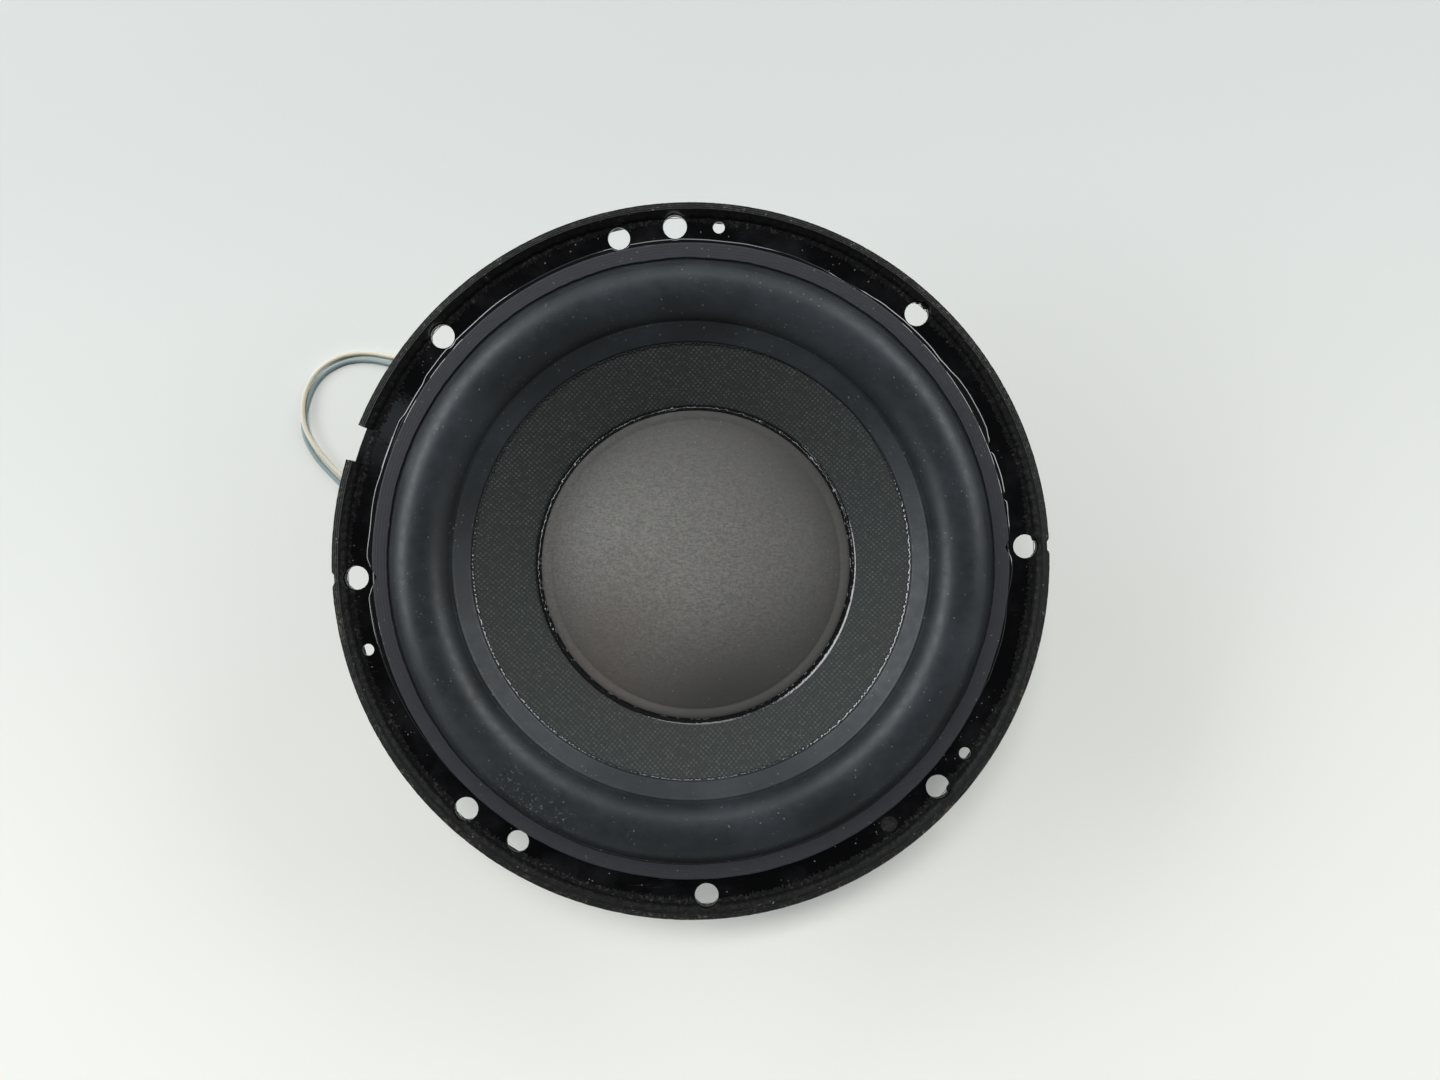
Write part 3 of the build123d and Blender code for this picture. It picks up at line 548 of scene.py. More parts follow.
@dataclass(frozen=True)
class Metal(Finish):
    """Plated or bare metal with fine turning marks and tarnish."""

    tarnish: Colour = (0.30, 0.28, 0.22)
    marks: float = 3.0e4

    def dress(self, shader: Shader) -> None:
        """Lay turning marks about the axis, and patches of tarnish."""
        radius = shader.radius()
        _, _, height = shader.axes()
        around = shader.math("SINE", shader.times(shader.math("ADD", radius, height), self.marks))
        cloud = shader.noise(75.0, 5.0, 0.65)
        spots = shader.span(shader.noise(600.0, 3.0), 0.6, 0.75)
        tarnish_and_painted_light = shader.times(shader.span(cloud, 0.45, 0.72), 0.45)
        colour = shader.mix(tarnish_and_painted_light, self.colour, self.tarnish)
        colour = shader.lay(colour, spots, 0.25, self.tarnish)
        shader.set(Base_Color=colour, Metallic=1.0)
        shader.set(Roughness=shader.span(cloud, 0.3, 0.7, self.rough, self.rough + 0.15))
        shader.bump(around, 0.000008, 0.4)


@dataclass(frozen=True)
class Ferrite(Finish):
    """Ground ceramic magnet: charcoal grey with chips and grinding dust."""

    def dress(self, shader: Shader) -> None:
        """Lay grain, pits and pale dust."""
        grain = shader.noise(1300.0, 5.0, 0.7)
        pits = shader.span(shader.cells(420.0), 0.08, 0.2, 1.0, 0.0)
        cloud = shader.span(shader.noise(60.0, 4.0), 0.4, 0.75)
        colour = shader.mix(shader.span(grain, 0.3, 0.7), self.colour, self.toned(1.6))
        colour = shader.lay(colour, cloud, 0.25, (0.16, 0.155, 0.15))
        shader.set(Base_Color=colour)
        shader.set(Roughness=shader.span(grain, 0.3, 0.7, self.rough - 0.1, self.rough + 0.1))
        shader.bump(shader.times(pits, shader.span(grain, 0.5, 0.7)), -0.0002, 0.6)
        shader.bump(grain, 0.00006, 0.5)


@dataclass(frozen=True)
class Plastic(Finish):
    """Moulded or extruded plastic with a faint skin texture."""

    coat: float = 0.0

    def dress(self, shader: Shader) -> None:
        """Lay skin texture, slight yellowing and dust."""
        skin = shader.noise(1600.0, 3.0)
        cloud = shader.noise(90.0, 3.0)
        yellowed = tuple(c * k for c, k in zip(self.colour, (0.86, 0.82, 0.74)))
        colour = shader.lay(self.colour, shader.span(cloud, 0.4, 0.75), 0.35, yellowed)
        shader.set(Base_Color=colour, Coat_Weight=self.coat)
        shader.set(Roughness=shader.span(skin, 0.3, 0.7, self.rough - 0.05, self.rough + 0.07))
        shader.bump(skin, 0.00003, 0.4)


@dataclass(frozen=True)
class DippedCotton(Finish):
    """Resin-dipped spider cloth: open amber weave."""

    pitch: float = 0.9 * MM

    def dress(self, shader: Shader) -> None:
        """Lay threads both ways, darker in their gaps."""
        x, y, _ = shader.axes()
        threads = [shader.math("SINE", shader.times(axis, TURN / self.pitch)) for axis in (x, y)]
        weave = shader.span(shader.math("MAXIMUM", threads[0], threads[1]), -0.6, 0.9)
        lumps = shader.noise(900.0, 3.0)
        colour = shader.mix(weave, self.toned(0.4), self.colour)
        shader.set(Base_Color=shader.lay(colour, lumps, 0.4, (0.5, 0.42, 0.28)), Roughness=self.rough)
        shader.bump(weave, 0.00018, 0.7)


BASKET_BLACK = Enamel("basket_enamel", "basket_black", (0.0014, 0.0014, 0.0016), 0.035)
SEAL_RUBBER = DustyRubber("dusty_rubber", "seal_rubber", (0.0022, 0.0021, 0.002), 0.40, shine=0.55)
TORN_FOAM = DustyRubber(
    "torn_foam", "foam", (0.0055, 0.0055, 0.0055), 0.8, (0.3, 0.29, 0.28), 1000.0, 0.0004, 0.6, 99 * MM
)
PAD_FOAM = DustyRubber(
    "pad_foam", "foam", (0.02, 0.02, 0.021), 0.6, (0.2, 0.2, 0.19), 1200.0, 0.0004, 0.6, 50 * MM
)
ROLL_RUBBER = RollRubber("roll_rubber", "surround_rubber", (0.0170, 0.0200, 0.0228), 0.40)
CONE_CLOTH = WovenCloth("woven_cloth", "cone_cloth", (0.0230, 0.0264, 0.0251), 0.68)
CAP_FIBRE = PressedFibre("cap_fibre", "cap_felt", (0.163, 0.158, 0.148), 0.8)
BLACK_GLUE = Glue("black_glue", "glue_black", (0.002, 0.002, 0.0022), 0.03, 400.0, 0.00002)
BEADED_GLUE = Glue("beaded_glue", "glue_black", (0.003, 0.003, 0.003), 0.08, 1100.0, 0.00008)
ZINC = Metal("zinc_plate", "zinc_steel", (0.56, 0.55, 0.52), 0.32)
COPPER = Metal("enamelled_copper", "coil_copper", (0.72, 0.30, 0.12), 0.25, (0.35, 0.12, 0.05))
TINNED = Metal("tinned_brass", "terminal_brass", (0.74, 0.71, 0.62), 0.28, (0.5, 0.38, 0.2))
TINSEL = Metal("tinsel_copper", "tinsel", (0.78, 0.45, 0.26), 0.35, (0.4, 0.2, 0.1))
FORMER_FOIL = Metal("former_foil", "former", (0.75, 0.75, 0.76), 0.3, (0.5, 0.5, 0.5))
MAGNET_FERRITE = Ferrite("sintered_ferrite", "ferrite", (0.028, 0.028, 0.03), 0.62)
KRAFT = Plastic("kraft_paper", "collar_paper", (0.42, 0.29, 0.16), 0.8)
SPIDER_CLOTH = DippedCotton("dipped_cotton", "spider_cloth", (0.50, 0.33, 0.11), 0.7)
PHENOLIC = Plastic("phenolic_board", "board_phenolic", (0.13, 0.06, 0.025), 0.45)
SLEEVE = Plastic("sleeve_vinyl", "sleeve_clear", (0.42, 0.05, 0.04), 0.3, 0.3)
CREAM_VINYL = Plastic("cream_vinyl", "wire_cream", (0.66, 0.62, 0.50), 0.42, 0.15)
BLUE_VINYL = Plastic("blue_vinyl", "wire_blue", (0.26, 0.33, 0.34), 0.42, 0.15)
NYLON = Plastic("moulded_nylon", "plug_nylon", (0.70, 0.67, 0.58), 0.45)
LOCK_NYLON = Plastic("moulded_lock", "lock_nylon", (0.45, 0.05, 0.04), 0.45)


# --- Mesh helpers -----------------------------------------------------------------------------------
def link_object(name: str, data: bpy.types.ID) -> Object:
    """New object of some data, linked to the scene."""
    piece = bpy.data.objects.new(name, data)
    bpy.context.scene.collection.objects.link(piece)
    return piece


def evaluated_mesh(host: Object) -> bpy.types.Mesh:
    """Mesh that an object's curve or modifiers come to; the object is removed."""
    bpy.context.view_layer.update()
    graph = bpy.context.evaluated_depsgraph_get()
    mesh = bpy.data.meshes.new_from_object(host.evaluated_get(graph))
    bpy.data.objects.remove(host)
    return mesh


def smooth_curve(name: str, points: Sequence[Vector], steps: int) -> bpy.types.Curve:
    """Smooth open curve that ends at its first and last control points.

    Args:
        name: Its name.
        points: Its control points.
        steps: Divisions between two of them.

    Returns:
        The curve.
    """
    curve = bpy.data.curves.new(name, "CURVE")
    curve.dimensions = "3D"
    spline = curve.splines.new("NURBS")
    spline.points.add(len(points) - 1)
    for point, place in zip(spline.points, points):
        point.co = (*place, 1.0)
    spline.order_u = 3
    spline.use_endpoint_u = True
    spline.resolution_u = steps
    return curve


def by_terminals(out: float, along: float, up: float) -> Vector:
    """Point at the terminals' angle.

    Args:
        out: Distance outward from the axis.
        along: Distance along the rim.
        up: Height.

    Returns:
        The point.
    """
    a = TERMINAL_ANGLE
    return Vector((out * math.cos(a) - along * math.sin(a), out * math.sin(a) + along * math.cos(a), up))


def cone_face(radius: float) -> float:
    """Height of the cone's face at a radius."""
    return FLANGE_TOP - CONE_SLOPE * (CONE_EDGE - radius)


def roughness(x: Grid, y: Grid, z: Grid | float = 0.0) -> Grid:
    """Smooth noise about -1 to 1 at each place.

    Args:
        x: X of each place, in cells.
        y: Its Y.
        z: Its Z, or one height for all.

    Returns:
        The noise, in the shape of X.
    """
    z = np.broadcast_to(z, x.shape)
    return np.array([noise.noise(Vector(place)) for place in zip(x.flat, y.flat, z.flat)]).reshape(x.shape)


def add_object(name: str, vertices: Grid, faces: Sequence[Sequence[int]], sharp: float = 40.0) -> Object:
    """Object of a new mesh with smooth shading, sharp only at steep edges.

    Args:
        name: Name of the object and its mesh.
        vertices: Corner positions, one row each.
        faces: Corner numbers of each face.
        sharp: Angle in degrees from which an edge is shaded sharp.

    Returns:
        The linked object.
    """
    mesh = bpy.data.meshes.new(name)
    mesh.from_pydata([tuple(row) for row in vertices.tolist()], [], [tuple(f) for f in faces])
    mesh.update()
    mesh.shade_smooth()
    mesh.set_sharp_from_angle(angle=math.radians(sharp))
    return link_object(name, mesh)


def finish_piece(piece: Object, finish: Finish, body: str | None, *stands_for: str) -> Object:
    """Give a piece its material and body, and hide the CAD nodes that it stands for.

    Args:
        piece: The piece.
        finish: Its finish.
        body: The body it rides on, or None.
        stands_for: CAD nodes it replaces.

    Returns:
        The piece.
    """
    piece.data.materials.clear()
    piece.data.materials.append(finish.material())
    if body:
        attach(piece, body)
    if stands_for:
        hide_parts(*stands_for)
    log.info("%s: %s", piece.name, finish.name)
    return piece


def ripple(angle: Grid, seed: int, low: int, high: int) -> Grid:
    """Smooth periodic wander round a ring, about -1 to 1.

    Args:
        angle: Angles in radians.
        seed: Seed of the phases.
        low: Fewest waves round the ring.
        high: Most waves.

    Returns:
        The wander at each angle.
    """
    rng = np.random.default_rng(seed)
    total = np.zeros_like(angle)
    for waves in rng.integers(low, high, 14):
        total += rng.uniform(0.3, 1.0) * np.sin(waves * angle + rng.uniform(0, TURN))
    return total / 3.0


def arc(centre: Point, radius: float, start: float, end: float, count: int) -> list[Point]:
    """Points of an arc.

    Args:
        centre: Its centre.
        radius: Its radius.
        start: First angle in degrees.
        end: Last angle in degrees.
        count: Number of points.

    Returns:
        The points in order.
    """
    turns = np.radians(np.linspace(start, end, count))
    return [(centre[0] + radius * math.cos(t), centre[1] + radius * math.sin(t)) for t in turns]


def refine(points: Points, longest: float) -> list[Point]:
    """Closed outline with its long sides divided.

    Args:
        points: Corners of the outline.
        longest: Longest side that stays whole.

    Returns:
        The divided outline.
    """
    fine: list[Point] = []
    for (r0, z0), (r1, z1) in zip(points, [*points[1:], points[0]]):
        steps = max(1, math.ceil(math.hypot(r1 - r0, z1 - z0) / longest))
        fine += [(r0 + (r1 - r0) * k / steps, z0 + (z1 - z0) * k / steps) for k in range(steps)]
    return fine


@dataclass(frozen=True)
class Lathe:
    """Closed outline turned about an upright axis, whole or over a span of angles."""

    outline: Points
    segments: int = 360
    centre: Point = (0.0, 0.0)
    from_angle: float = 0.0
    to_angle: float = 360.0

    def build(self, name: str, shift: Shift | None = None, sharp: float = 40.0) -> Object:
        """Mesh of the turned outline.

        Args:
            name: Name of the object.
            shift: Moves each point, from its angle, radius and height to a new radius and height.
            sharp: Angle in degrees from which an edge is shaded sharp.

        Returns:
            The object.
        """
        whole = abs(self.to_angle - self.from_angle - 360.0) < 1e-6
        stations = self.segments if whole else self.segments + 1
        angles = np.radians(np.linspace(self.from_angle, self.to_angle, self.segments + 1))[:stations, None]
        base = np.array(self.outline, float)
        radius = np.repeat(base[None, :, 0], stations, axis=0)
        height = np.repeat(base[None, :, 1], stations, axis=0)
        if shift:
            radius, height = shift(np.broadcast_to(angles, radius.shape), radius, height)
        x = self.centre[0] + radius * np.cos(angles)
        y = self.centre[1] + radius * np.sin(angles)
        vertices = np.stack([x, y, height], axis=2).reshape(-1, 3)
        count = len(base)
        faces: list[list[int]] = []
        for station in range(self.segments):
            following = (station + 1) % stations
            for k in range(count):
                after = (k + 1) % count
                faces.append([station * count + k, following * count + k,
                              following * count + after, station * count + after])
        if not whole:
            faces.append(list(range(count)))
            faces.append([(stations - 1) * count + k for k in reversed(range(count))])
        piece = add_object(name, vertices, faces, sharp)
        tidy_mesh(piece.data)
        return piece


def tidy_mesh(mesh: bpy.types.Mesh) -> None:
    """Merge doubled points and turn every face outwards.

    Args:
        mesh: The mesh to tidy.
    """
    work = bmesh.new()
    work.from_mesh(mesh)
    bmesh.ops.remove_doubles(work, verts=work.verts, dist=1e-7)
    bmesh.ops.dissolve_degenerate(work, edges=work.edges, dist=1e-8)
    bmesh.ops.recalc_face_normals(work, faces=work.faces)
    work.to_mesh(mesh)
    work.free()
    mesh.update()


def bend_between(piece: Object) -> None:
    """Bake a ring-shaped soft piece's placement into its mesh and read out its points.

    Args:
        piece: The piece.
    """
    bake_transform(piece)
    places = np.empty(len(piece.data.vertices) * 3)
    piece.data.vertices.foreach_get("co", places)
    places = places.reshape(-1, 3)


def hole_edges(angle: Grid, room: float) -> Iterator[tuple[Grid, Grid, Grid]]:
    """Where each hole of the flange lies on the rays at some angles.

    Args:
        angle: Angles in radians.
        room: Clearance round each hole.

    Yields:
        For each hole, which rays meet it, and the radii at which it begins and ends on them.
    """
    for ring, turn, hole in FLANGE_HOLES:
        off = (angle - turn + math.pi) % TURN - math.pi
        side = ring * np.sin(off)
        inside = (np.abs(side) < hole + room) & (np.abs(off) < 0.3)
        half = np.sqrt(np.maximum((hole + room) ** 2 - side**2, 0.0))
        yield inside, ring * np.cos(off) - half, ring * np.cos(off) + half


def clear_of_holes(angle: Grid, middle: float, room: float) -> Grid:
    """Outermost radius that the flange's holes reach at each angle, 0 where there is none.

    Args:
        angle: Angles in radians.
        middle: Radius beyond which a hole's reach is cut.
        room: Clearance round each hole.

    Returns:
        The radius at each angle.
    """
    reach = np.zeros_like(angle)
    for inside, _, end in hole_edges(angle, room):
        reach = np.where(inside, np.maximum(reach, np.minimum(end, middle)), reach)
    return reach


def room_before_holes(angle: Grid, room: float) -> Grid:
    """Radius at which the nearest hole of the flange begins at each angle, very large where there is none.

    Args:
        angle: Angles in radians.
        room: Clearance round each hole.

    Returns:
        The radius at each angle.
    """
    start = np.ones_like(angle)
    for inside, begin, _ in hole_edges(angle, room):
        start = np.where(inside, np.minimum(start, begin), start)
    return start


# --- Geometry Nodes ---------------------------------------------------------------------------------
FLOAT = "NodeSocketFloat"


class NodeTree:
    """Geometry node tree with named inputs, ending in Realize Instances and Set Material."""

    def __init__(self, name: str, inputs: dict[str, tuple[str, float | int]]) -> None:
        """Start a tree.

        Args:
            name: Name of the tree.
            inputs: Each input's name with its socket type and default.
        """
        self.tree = bpy.data.node_groups.new(name, "GeometryNodeTree")
        panel = self.tree.interface
        panel.new_socket("Geometry", in_out="INPUT", socket_type="NodeSocketGeometry")
        self.identifiers: dict[str, str] = {}
        for label, (kind, default) in inputs.items():
            socket = panel.new_socket(label, in_out="INPUT", socket_type=kind)
            socket.default_value = default
            self.identifiers[label] = socket.identifier
        panel.new_socket("Geometry", in_out="OUTPUT", socket_type="NodeSocketGeometry")
        self.given = self.tree.nodes.new("NodeGroupInput")
        self.result = self.tree.nodes.new("NodeGroupOutput")

    def add(self, kind: str, settings: Settings | None = None, **inputs: Value | tuple) -> bpy.types.Node:
        """Add one node to the tree; see add_node."""
        return add_node(self.tree, kind, settings, **inputs)

    def math(self, operation: str, *values: Value) -> Socket:
        """Result of one Math node of the tree; see chain_math."""
        return chain_math(self.tree, operation, values)

    def close(self, geometry: Socket, material: bpy.types.Material) -> None:
        """End the tree.

        Args:
            geometry: What the tree has made.
            material: The material it gets.
        """
        real = self.add("GeometryNodeRealizeInstances", Geometry=geometry)
        dressed = self.add("GeometryNodeSetMaterial", Geometry=real.outputs[0])
        dressed.inputs["Material"].default_value = material
        self.tree.links.new(dressed.outputs[0], self.result.inputs[0])

    def run(self, host: Object, name: str, values: dict[str, float | int]) -> Object:
        """Evaluate the tree on a host and keep the result as a plain mesh.

        Args:
            host: Object whose geometry goes in; it is removed.
            name: Name of the result.
            values: Values of the named inputs.

        Returns:
            The new object.
        """
        modifier = host.modifiers.new("grow", "NODES")
        modifier.node_group = self.tree
        for label, value in values.items():
            modifier[self.identifiers[label]] = value
        mesh = evaluated_mesh(host)
        mesh.name = name
        return link_object(name, mesh)


def crumbs_tree(name: str, material: bpy.types.Material) -> NodeTree:
    """Tree that sets a squashed, lumpy crumb on every point of its host.

    Args:
        name: Name of the tree.
        material: Material of the crumbs.

    Returns:
        The tree.
    """
    tree = NodeTree(name, {
        "Size": (FLOAT, 0.0005), "Flatness": (FLOAT, 0.5), "Seed": ("NodeSocketInt", 1),
    })
    size, flatness, seed = (tree.given.outputs[label] for label in ("Size", "Flatness", "Seed"))
    ball = tree.add("GeometryNodeMeshIcoSphere", Radius=size, Subdivisions=2)
    lumps = tree.add("ShaderNodeTexNoise", Scale=1400.0, Detail=2.0)
    lift = tree.math("MULTIPLY", tree.math("MULTIPLY_ADD", lumps.outputs[0], 1.6, -0.3), size)
    normal = tree.add("GeometryNodeInputNormal")
    push = tree.add("ShaderNodeVectorMath", {"operation": "SCALE"}, Vector=normal.outputs[0], Scale=lift)
    lumpy = tree.add("GeometryNodeSetPosition", Geometry=ball.outputs[0], Offset=push.outputs[0])
    turn = tree.add("FunctionNodeRandomValue", {"data_type": "FLOAT_VECTOR"}, Seed=seed)
    turn.inputs[0].default_value = (-0.35, -0.35, 0.0)
    turn.inputs[1].default_value = (0.35, 0.35, 6.283)
    grow = tree.add("FunctionNodeRandomValue", {"data_type": "FLOAT"}, Seed=seed)
    grow.inputs[2].default_value = 0.35
    grow.inputs[3].default_value = 1.5
    wide = grow.outputs[1]
    scale = tree.add("ShaderNodeCombineXYZ", X=wide, Y=wide, Z=tree.math("MULTIPLY", wide, flatness))
    spread = tree.add("GeometryNodeInstanceOnPoints", Points=tree.given.outputs["Geometry"],
                      Instance=lumpy.outputs[0], Rotation=turn.outputs[0], Scale=scale.outputs[0])
    tree.close(spread.outputs[0], material)
    return tree


def winding_tree(material: bpy.types.Material) -> NodeTree:
    """Tree that winds a wire into a close helix.

    Args:
        material: Material of the wire.

    Returns:
        The tree.
    """
    tree = NodeTree("coil_winding", {
        "Turns": (FLOAT, 40.0), "Radius": (FLOAT, 0.02), "Height": (FLOAT, 0.018), "Wire": (FLOAT, 0.0002),
        "Low": (FLOAT, 0.0),
    })
    turns, radius, height, wire, low = (
        tree.given.outputs[label] for label in ("Turns", "Radius", "Height", "Wire", "Low")
    )
    spiral = tree.add("GeometryNodeCurveSpiral", Resolution=40, Rotations=turns, Start_Radius=radius,
                      End_Radius=radius, Height=height)
    section = tree.add("GeometryNodeCurvePrimitiveCircle", Resolution=6, Radius=wire)
    tube = tree.add("GeometryNodeCurveToMesh", Curve=spiral.outputs[0], Profile_Curve=section.outputs[0])
    tube.inputs["Fill Caps"].default_value = True
    up = tree.add("ShaderNodeCombineXYZ", Z=low)
    placed = tree.add("GeometryNodeTransform", Geometry=tube.outputs[0], Translation=up.outputs[0])
    tree.close(placed.outputs[0], material)
    return tree


def points_object(name: str, places: Grid) -> Object:
    """Object whose mesh is loose points only.

    Args:
        name: Its name.
        places: One row for each point.

    Returns:
        The linked object.
    """
    mesh = bpy.data.meshes.new(name)
    mesh.from_pydata([tuple(row) for row in places.tolist()], [], [])
    return link_object(name, mesh)


# --- Studio -----------------------------------------------------------------------------------------
class Softbox(Enum):
    """Area lights: azimuth and height in degrees, distance, size, power and tint."""

    KEY = (100.0, 68.0, 3.4, (1.3, 0.35), 66.0, (1.0, 1.0, 0.985))
    LEFT = (158.0, 31.0, 3.0, (3.4, 1.3), 56.0, (0.94, 0.975, 1.0))
    RIGHT = (29.0, 31.0, 3.0, (2.7, 1.3), 36.0, (0.95, 0.98, 1.0))
    BACK = (90.0, 34.0, 3.2, (1.5, 1.1), 9.0, (0.95, 0.98, 1.0))
    CEILING = (158.0, 68.9, 1.42, (0.075, 0.14), 0.020, (0.8, 0.9, 1.0))


@dataclass
class Studio:
    """Pale floor, soft light and the camera over the driver."""

    floor_half: float = 3.0
    camera_place: Place = (9.3 * MM, 9.9 * MM, 395.0 * MM)
    camera_tilt: float = -0.661
    camera_roll: float = -2.705
    lens: float = 26.0
    sensor: float = 36.0
    target: Vector = field(default_factory=lambda: Vector((0.0, 0.0, 0.06)))

    def build(self) -> None:
        """Make the whole set."""
        bpy.context.scene.view_settings.view_transform = "Standard"
        self.floor()
        self.sky()
        for softbox in Softbox:
            self.light(softbox)
        self.camera()

    def floor(self) -> None:
        """Pale floor at the height of the yoke's back, with painted shade that darkens it towards +Y."""
        h = self.floor_half
        corners = np.array([(-h, -h, 0.0), (h, -h, 0.0), (h, h, 0.0), (-h, h, 0.0)])
        floor = add_object("floor", corners, [(0, 1, 2, 3)])
        shader = Shader("pale_floor")
        tone = shader.noise(9.0, 4.0, 0.6)
        plain = shader.mix(tone, (0.88, 0.885, 0.83), (0.85, 0.855, 0.80))
        # Painted shade: the floor is painted darker grey towards +Y.
        far = shader.span(shader.axes()[1], -0.22, 0.24)
        shader.set(Base_Color=shader.mix(far, plain, (0.58, 0.595, 0.585)), Roughness=0.6)
        floor.data.materials.append(shader.material)

    def sky(self) -> None:
        """World that is bright low down, dim overhead, and dim where the viewer stands."""
        world = bpy.data.worlds.new("room")
        bpy.context.scene.world = world
        world.use_nodes = True
        tree = world.node_tree
        tree.nodes.clear()
        coords = add_node(tree, "ShaderNodeTexCoord")
        split = add_node(tree, "ShaderNodeSeparateXYZ", Vector=coords.outputs["Generated"])
        side = add_node(tree, "ShaderNodeMapRange", {"interpolation_type": "SMOOTHSTEP"},
                        Value=split.outputs[1], From_Min=-0.8, From_Max=0.3, To_Min=0.45, To_Max=1.0)
        ramp = add_node(tree, "ShaderNodeValToRGB")
        feed(tree, ramp.inputs[0], split.outputs[2])
        low, high = ramp.color_ramp.elements
        low.position, low.color = 0.05, (0.60, 0.61, 0.62, 1.0)
        high.position, high.color = 0.86, (0.05, 0.052, 0.056, 1.0)
        ramp.color_ramp.elements.new(0.55).color = (0.34, 0.35, 0.36, 1.0)
        back = add_node(tree, "ShaderNodeBackground", Color=ramp.outputs[0], Strength=side.outputs[0])
        add_node(tree, "ShaderNodeOutputWorld", Surface=back.outputs[0])

    def light(self, softbox: Softbox) -> None:
        """Add one area light that faces the driver.

        Args:
            softbox: Which one.
        """
        azimuth, height, distance, size, power, tint = softbox.value
        lamp = bpy.data.lights.new(softbox.name.lower(), "AREA")
        lamp.shape = "RECTANGLE"
        lamp.size, lamp.size_y = size
        lamp.energy = power
        lamp.color = tint
        holder = link_object(lamp.name, lamp)
        turn, lift = math.radians(azimuth), math.radians(height)
        way = Vector((math.cos(turn) * math.cos(lift), math.sin(turn) * math.cos(lift), math.sin(lift)))
        holder.location = self.target + way * distance
        holder.rotation_euler = (-way).to_track_quat("-Z", "Y").to_euler()
        holder.visible_glossy = softbox is not Softbox.KEY

    def camera(self) -> None:
        """Camera almost straight above the driver."""
        data = bpy.data.cameras.new("camera")
        data.lens = self.lens
        data.sensor_width = self.sensor
        data.sensor_fit = "HORIZONTAL"
        data.clip_start = 0.01
        holder = link_object("camera", data)
        holder.location = self.camera_place
        holder.rotation_euler = (math.radians(self.camera_tilt), 0.0, math.radians(self.camera_roll))
        bpy.context.scene.camera = holder


# --- Free lead --------------------------------------------------------------------------------------
Route = tuple[Place, ...]


@dataclass
class Lead:
    """Two thin wires from the terminals, down to the floor, round the loop and back to the plug."""

    wire: float = 1.7 * MM
    # Points of each route: outward from the axis, along the rim and up, at the terminals' angle
    cream: Route = (
        (0.099, -0.0065, 0.0446), (0.1105, -0.0065, 0.0446), (0.1185, -0.0105, 0.035),
        (0.121, -0.0155, 0.022), (0.1215, -0.0185, 0.0075), (0.132, -0.0152, 0.00095),
        (0.1499, -0.010, 0.00095), (0.1596, 0.0016, 0.0016), (0.1596, 0.0154, 0.00285),
        (0.1512, 0.0286, 0.00285), (0.1262, 0.0374, 0.00095), (0.105, 0.0404, 0.00095),
        (0.08454, 0.05119, 0.0035), (0.0742, 0.0634, 0.0035),
    )
    blue: Route = (
        (0.099, 0.0065, 0.0446), (0.1095, 0.0065, 0.0446), (0.1175, 0.0005, 0.036),
        (0.1205, -0.008, 0.0245), (0.122, -0.014, 0.010), (0.1315, -0.0126, 0.00095),
        (0.1487, -0.0077, 0.00095), (0.1577, 0.0029, 0.00095), (0.1584, 0.0154, 0.00095),
        (0.1526, 0.0308, 0.00095), (0.1272, 0.0399, 0.00095), (0.1066, 0.0429, 0.00095),
        (0.08683, 0.05313, 0.0035), (0.07649, 0.06534, 0.0035),
    )
    lengths: dict[str, float] = field(default_factory=lambda: {"cream": 0.2123, "blue": 0.2097})

    def build(self) -> None:
        """Make both wires."""
        self.strand("cream", self.cream, CREAM_VINYL, ["plug_housing", "plug_lock"])
        self.strand("blue", self.blue, BLUE_VINYL, ["plug_contacts"])

    def strand(self, colour: str, route: Route, finish: Finish, on_it: list[str]) -> None:
        """One wire as a smooth curve through its route.

        Args:
            colour: Which wire.
            route: Its points.
            finish: Its finish.
            on_it: CAD nodes that belong to it; not used.
        """
        curve = smooth_curve(f"wire_{colour}_vinyl", [by_terminals(*place) for place in route], 14)
        curve.bevel_depth = self.wire / 2
        curve.bevel_resolution = 5
        curve.use_fill_caps = True
        piece = link_object(curve.name, curve)
        finish_piece(piece, finish, FRAME_BODY, f"wire_{colour}")


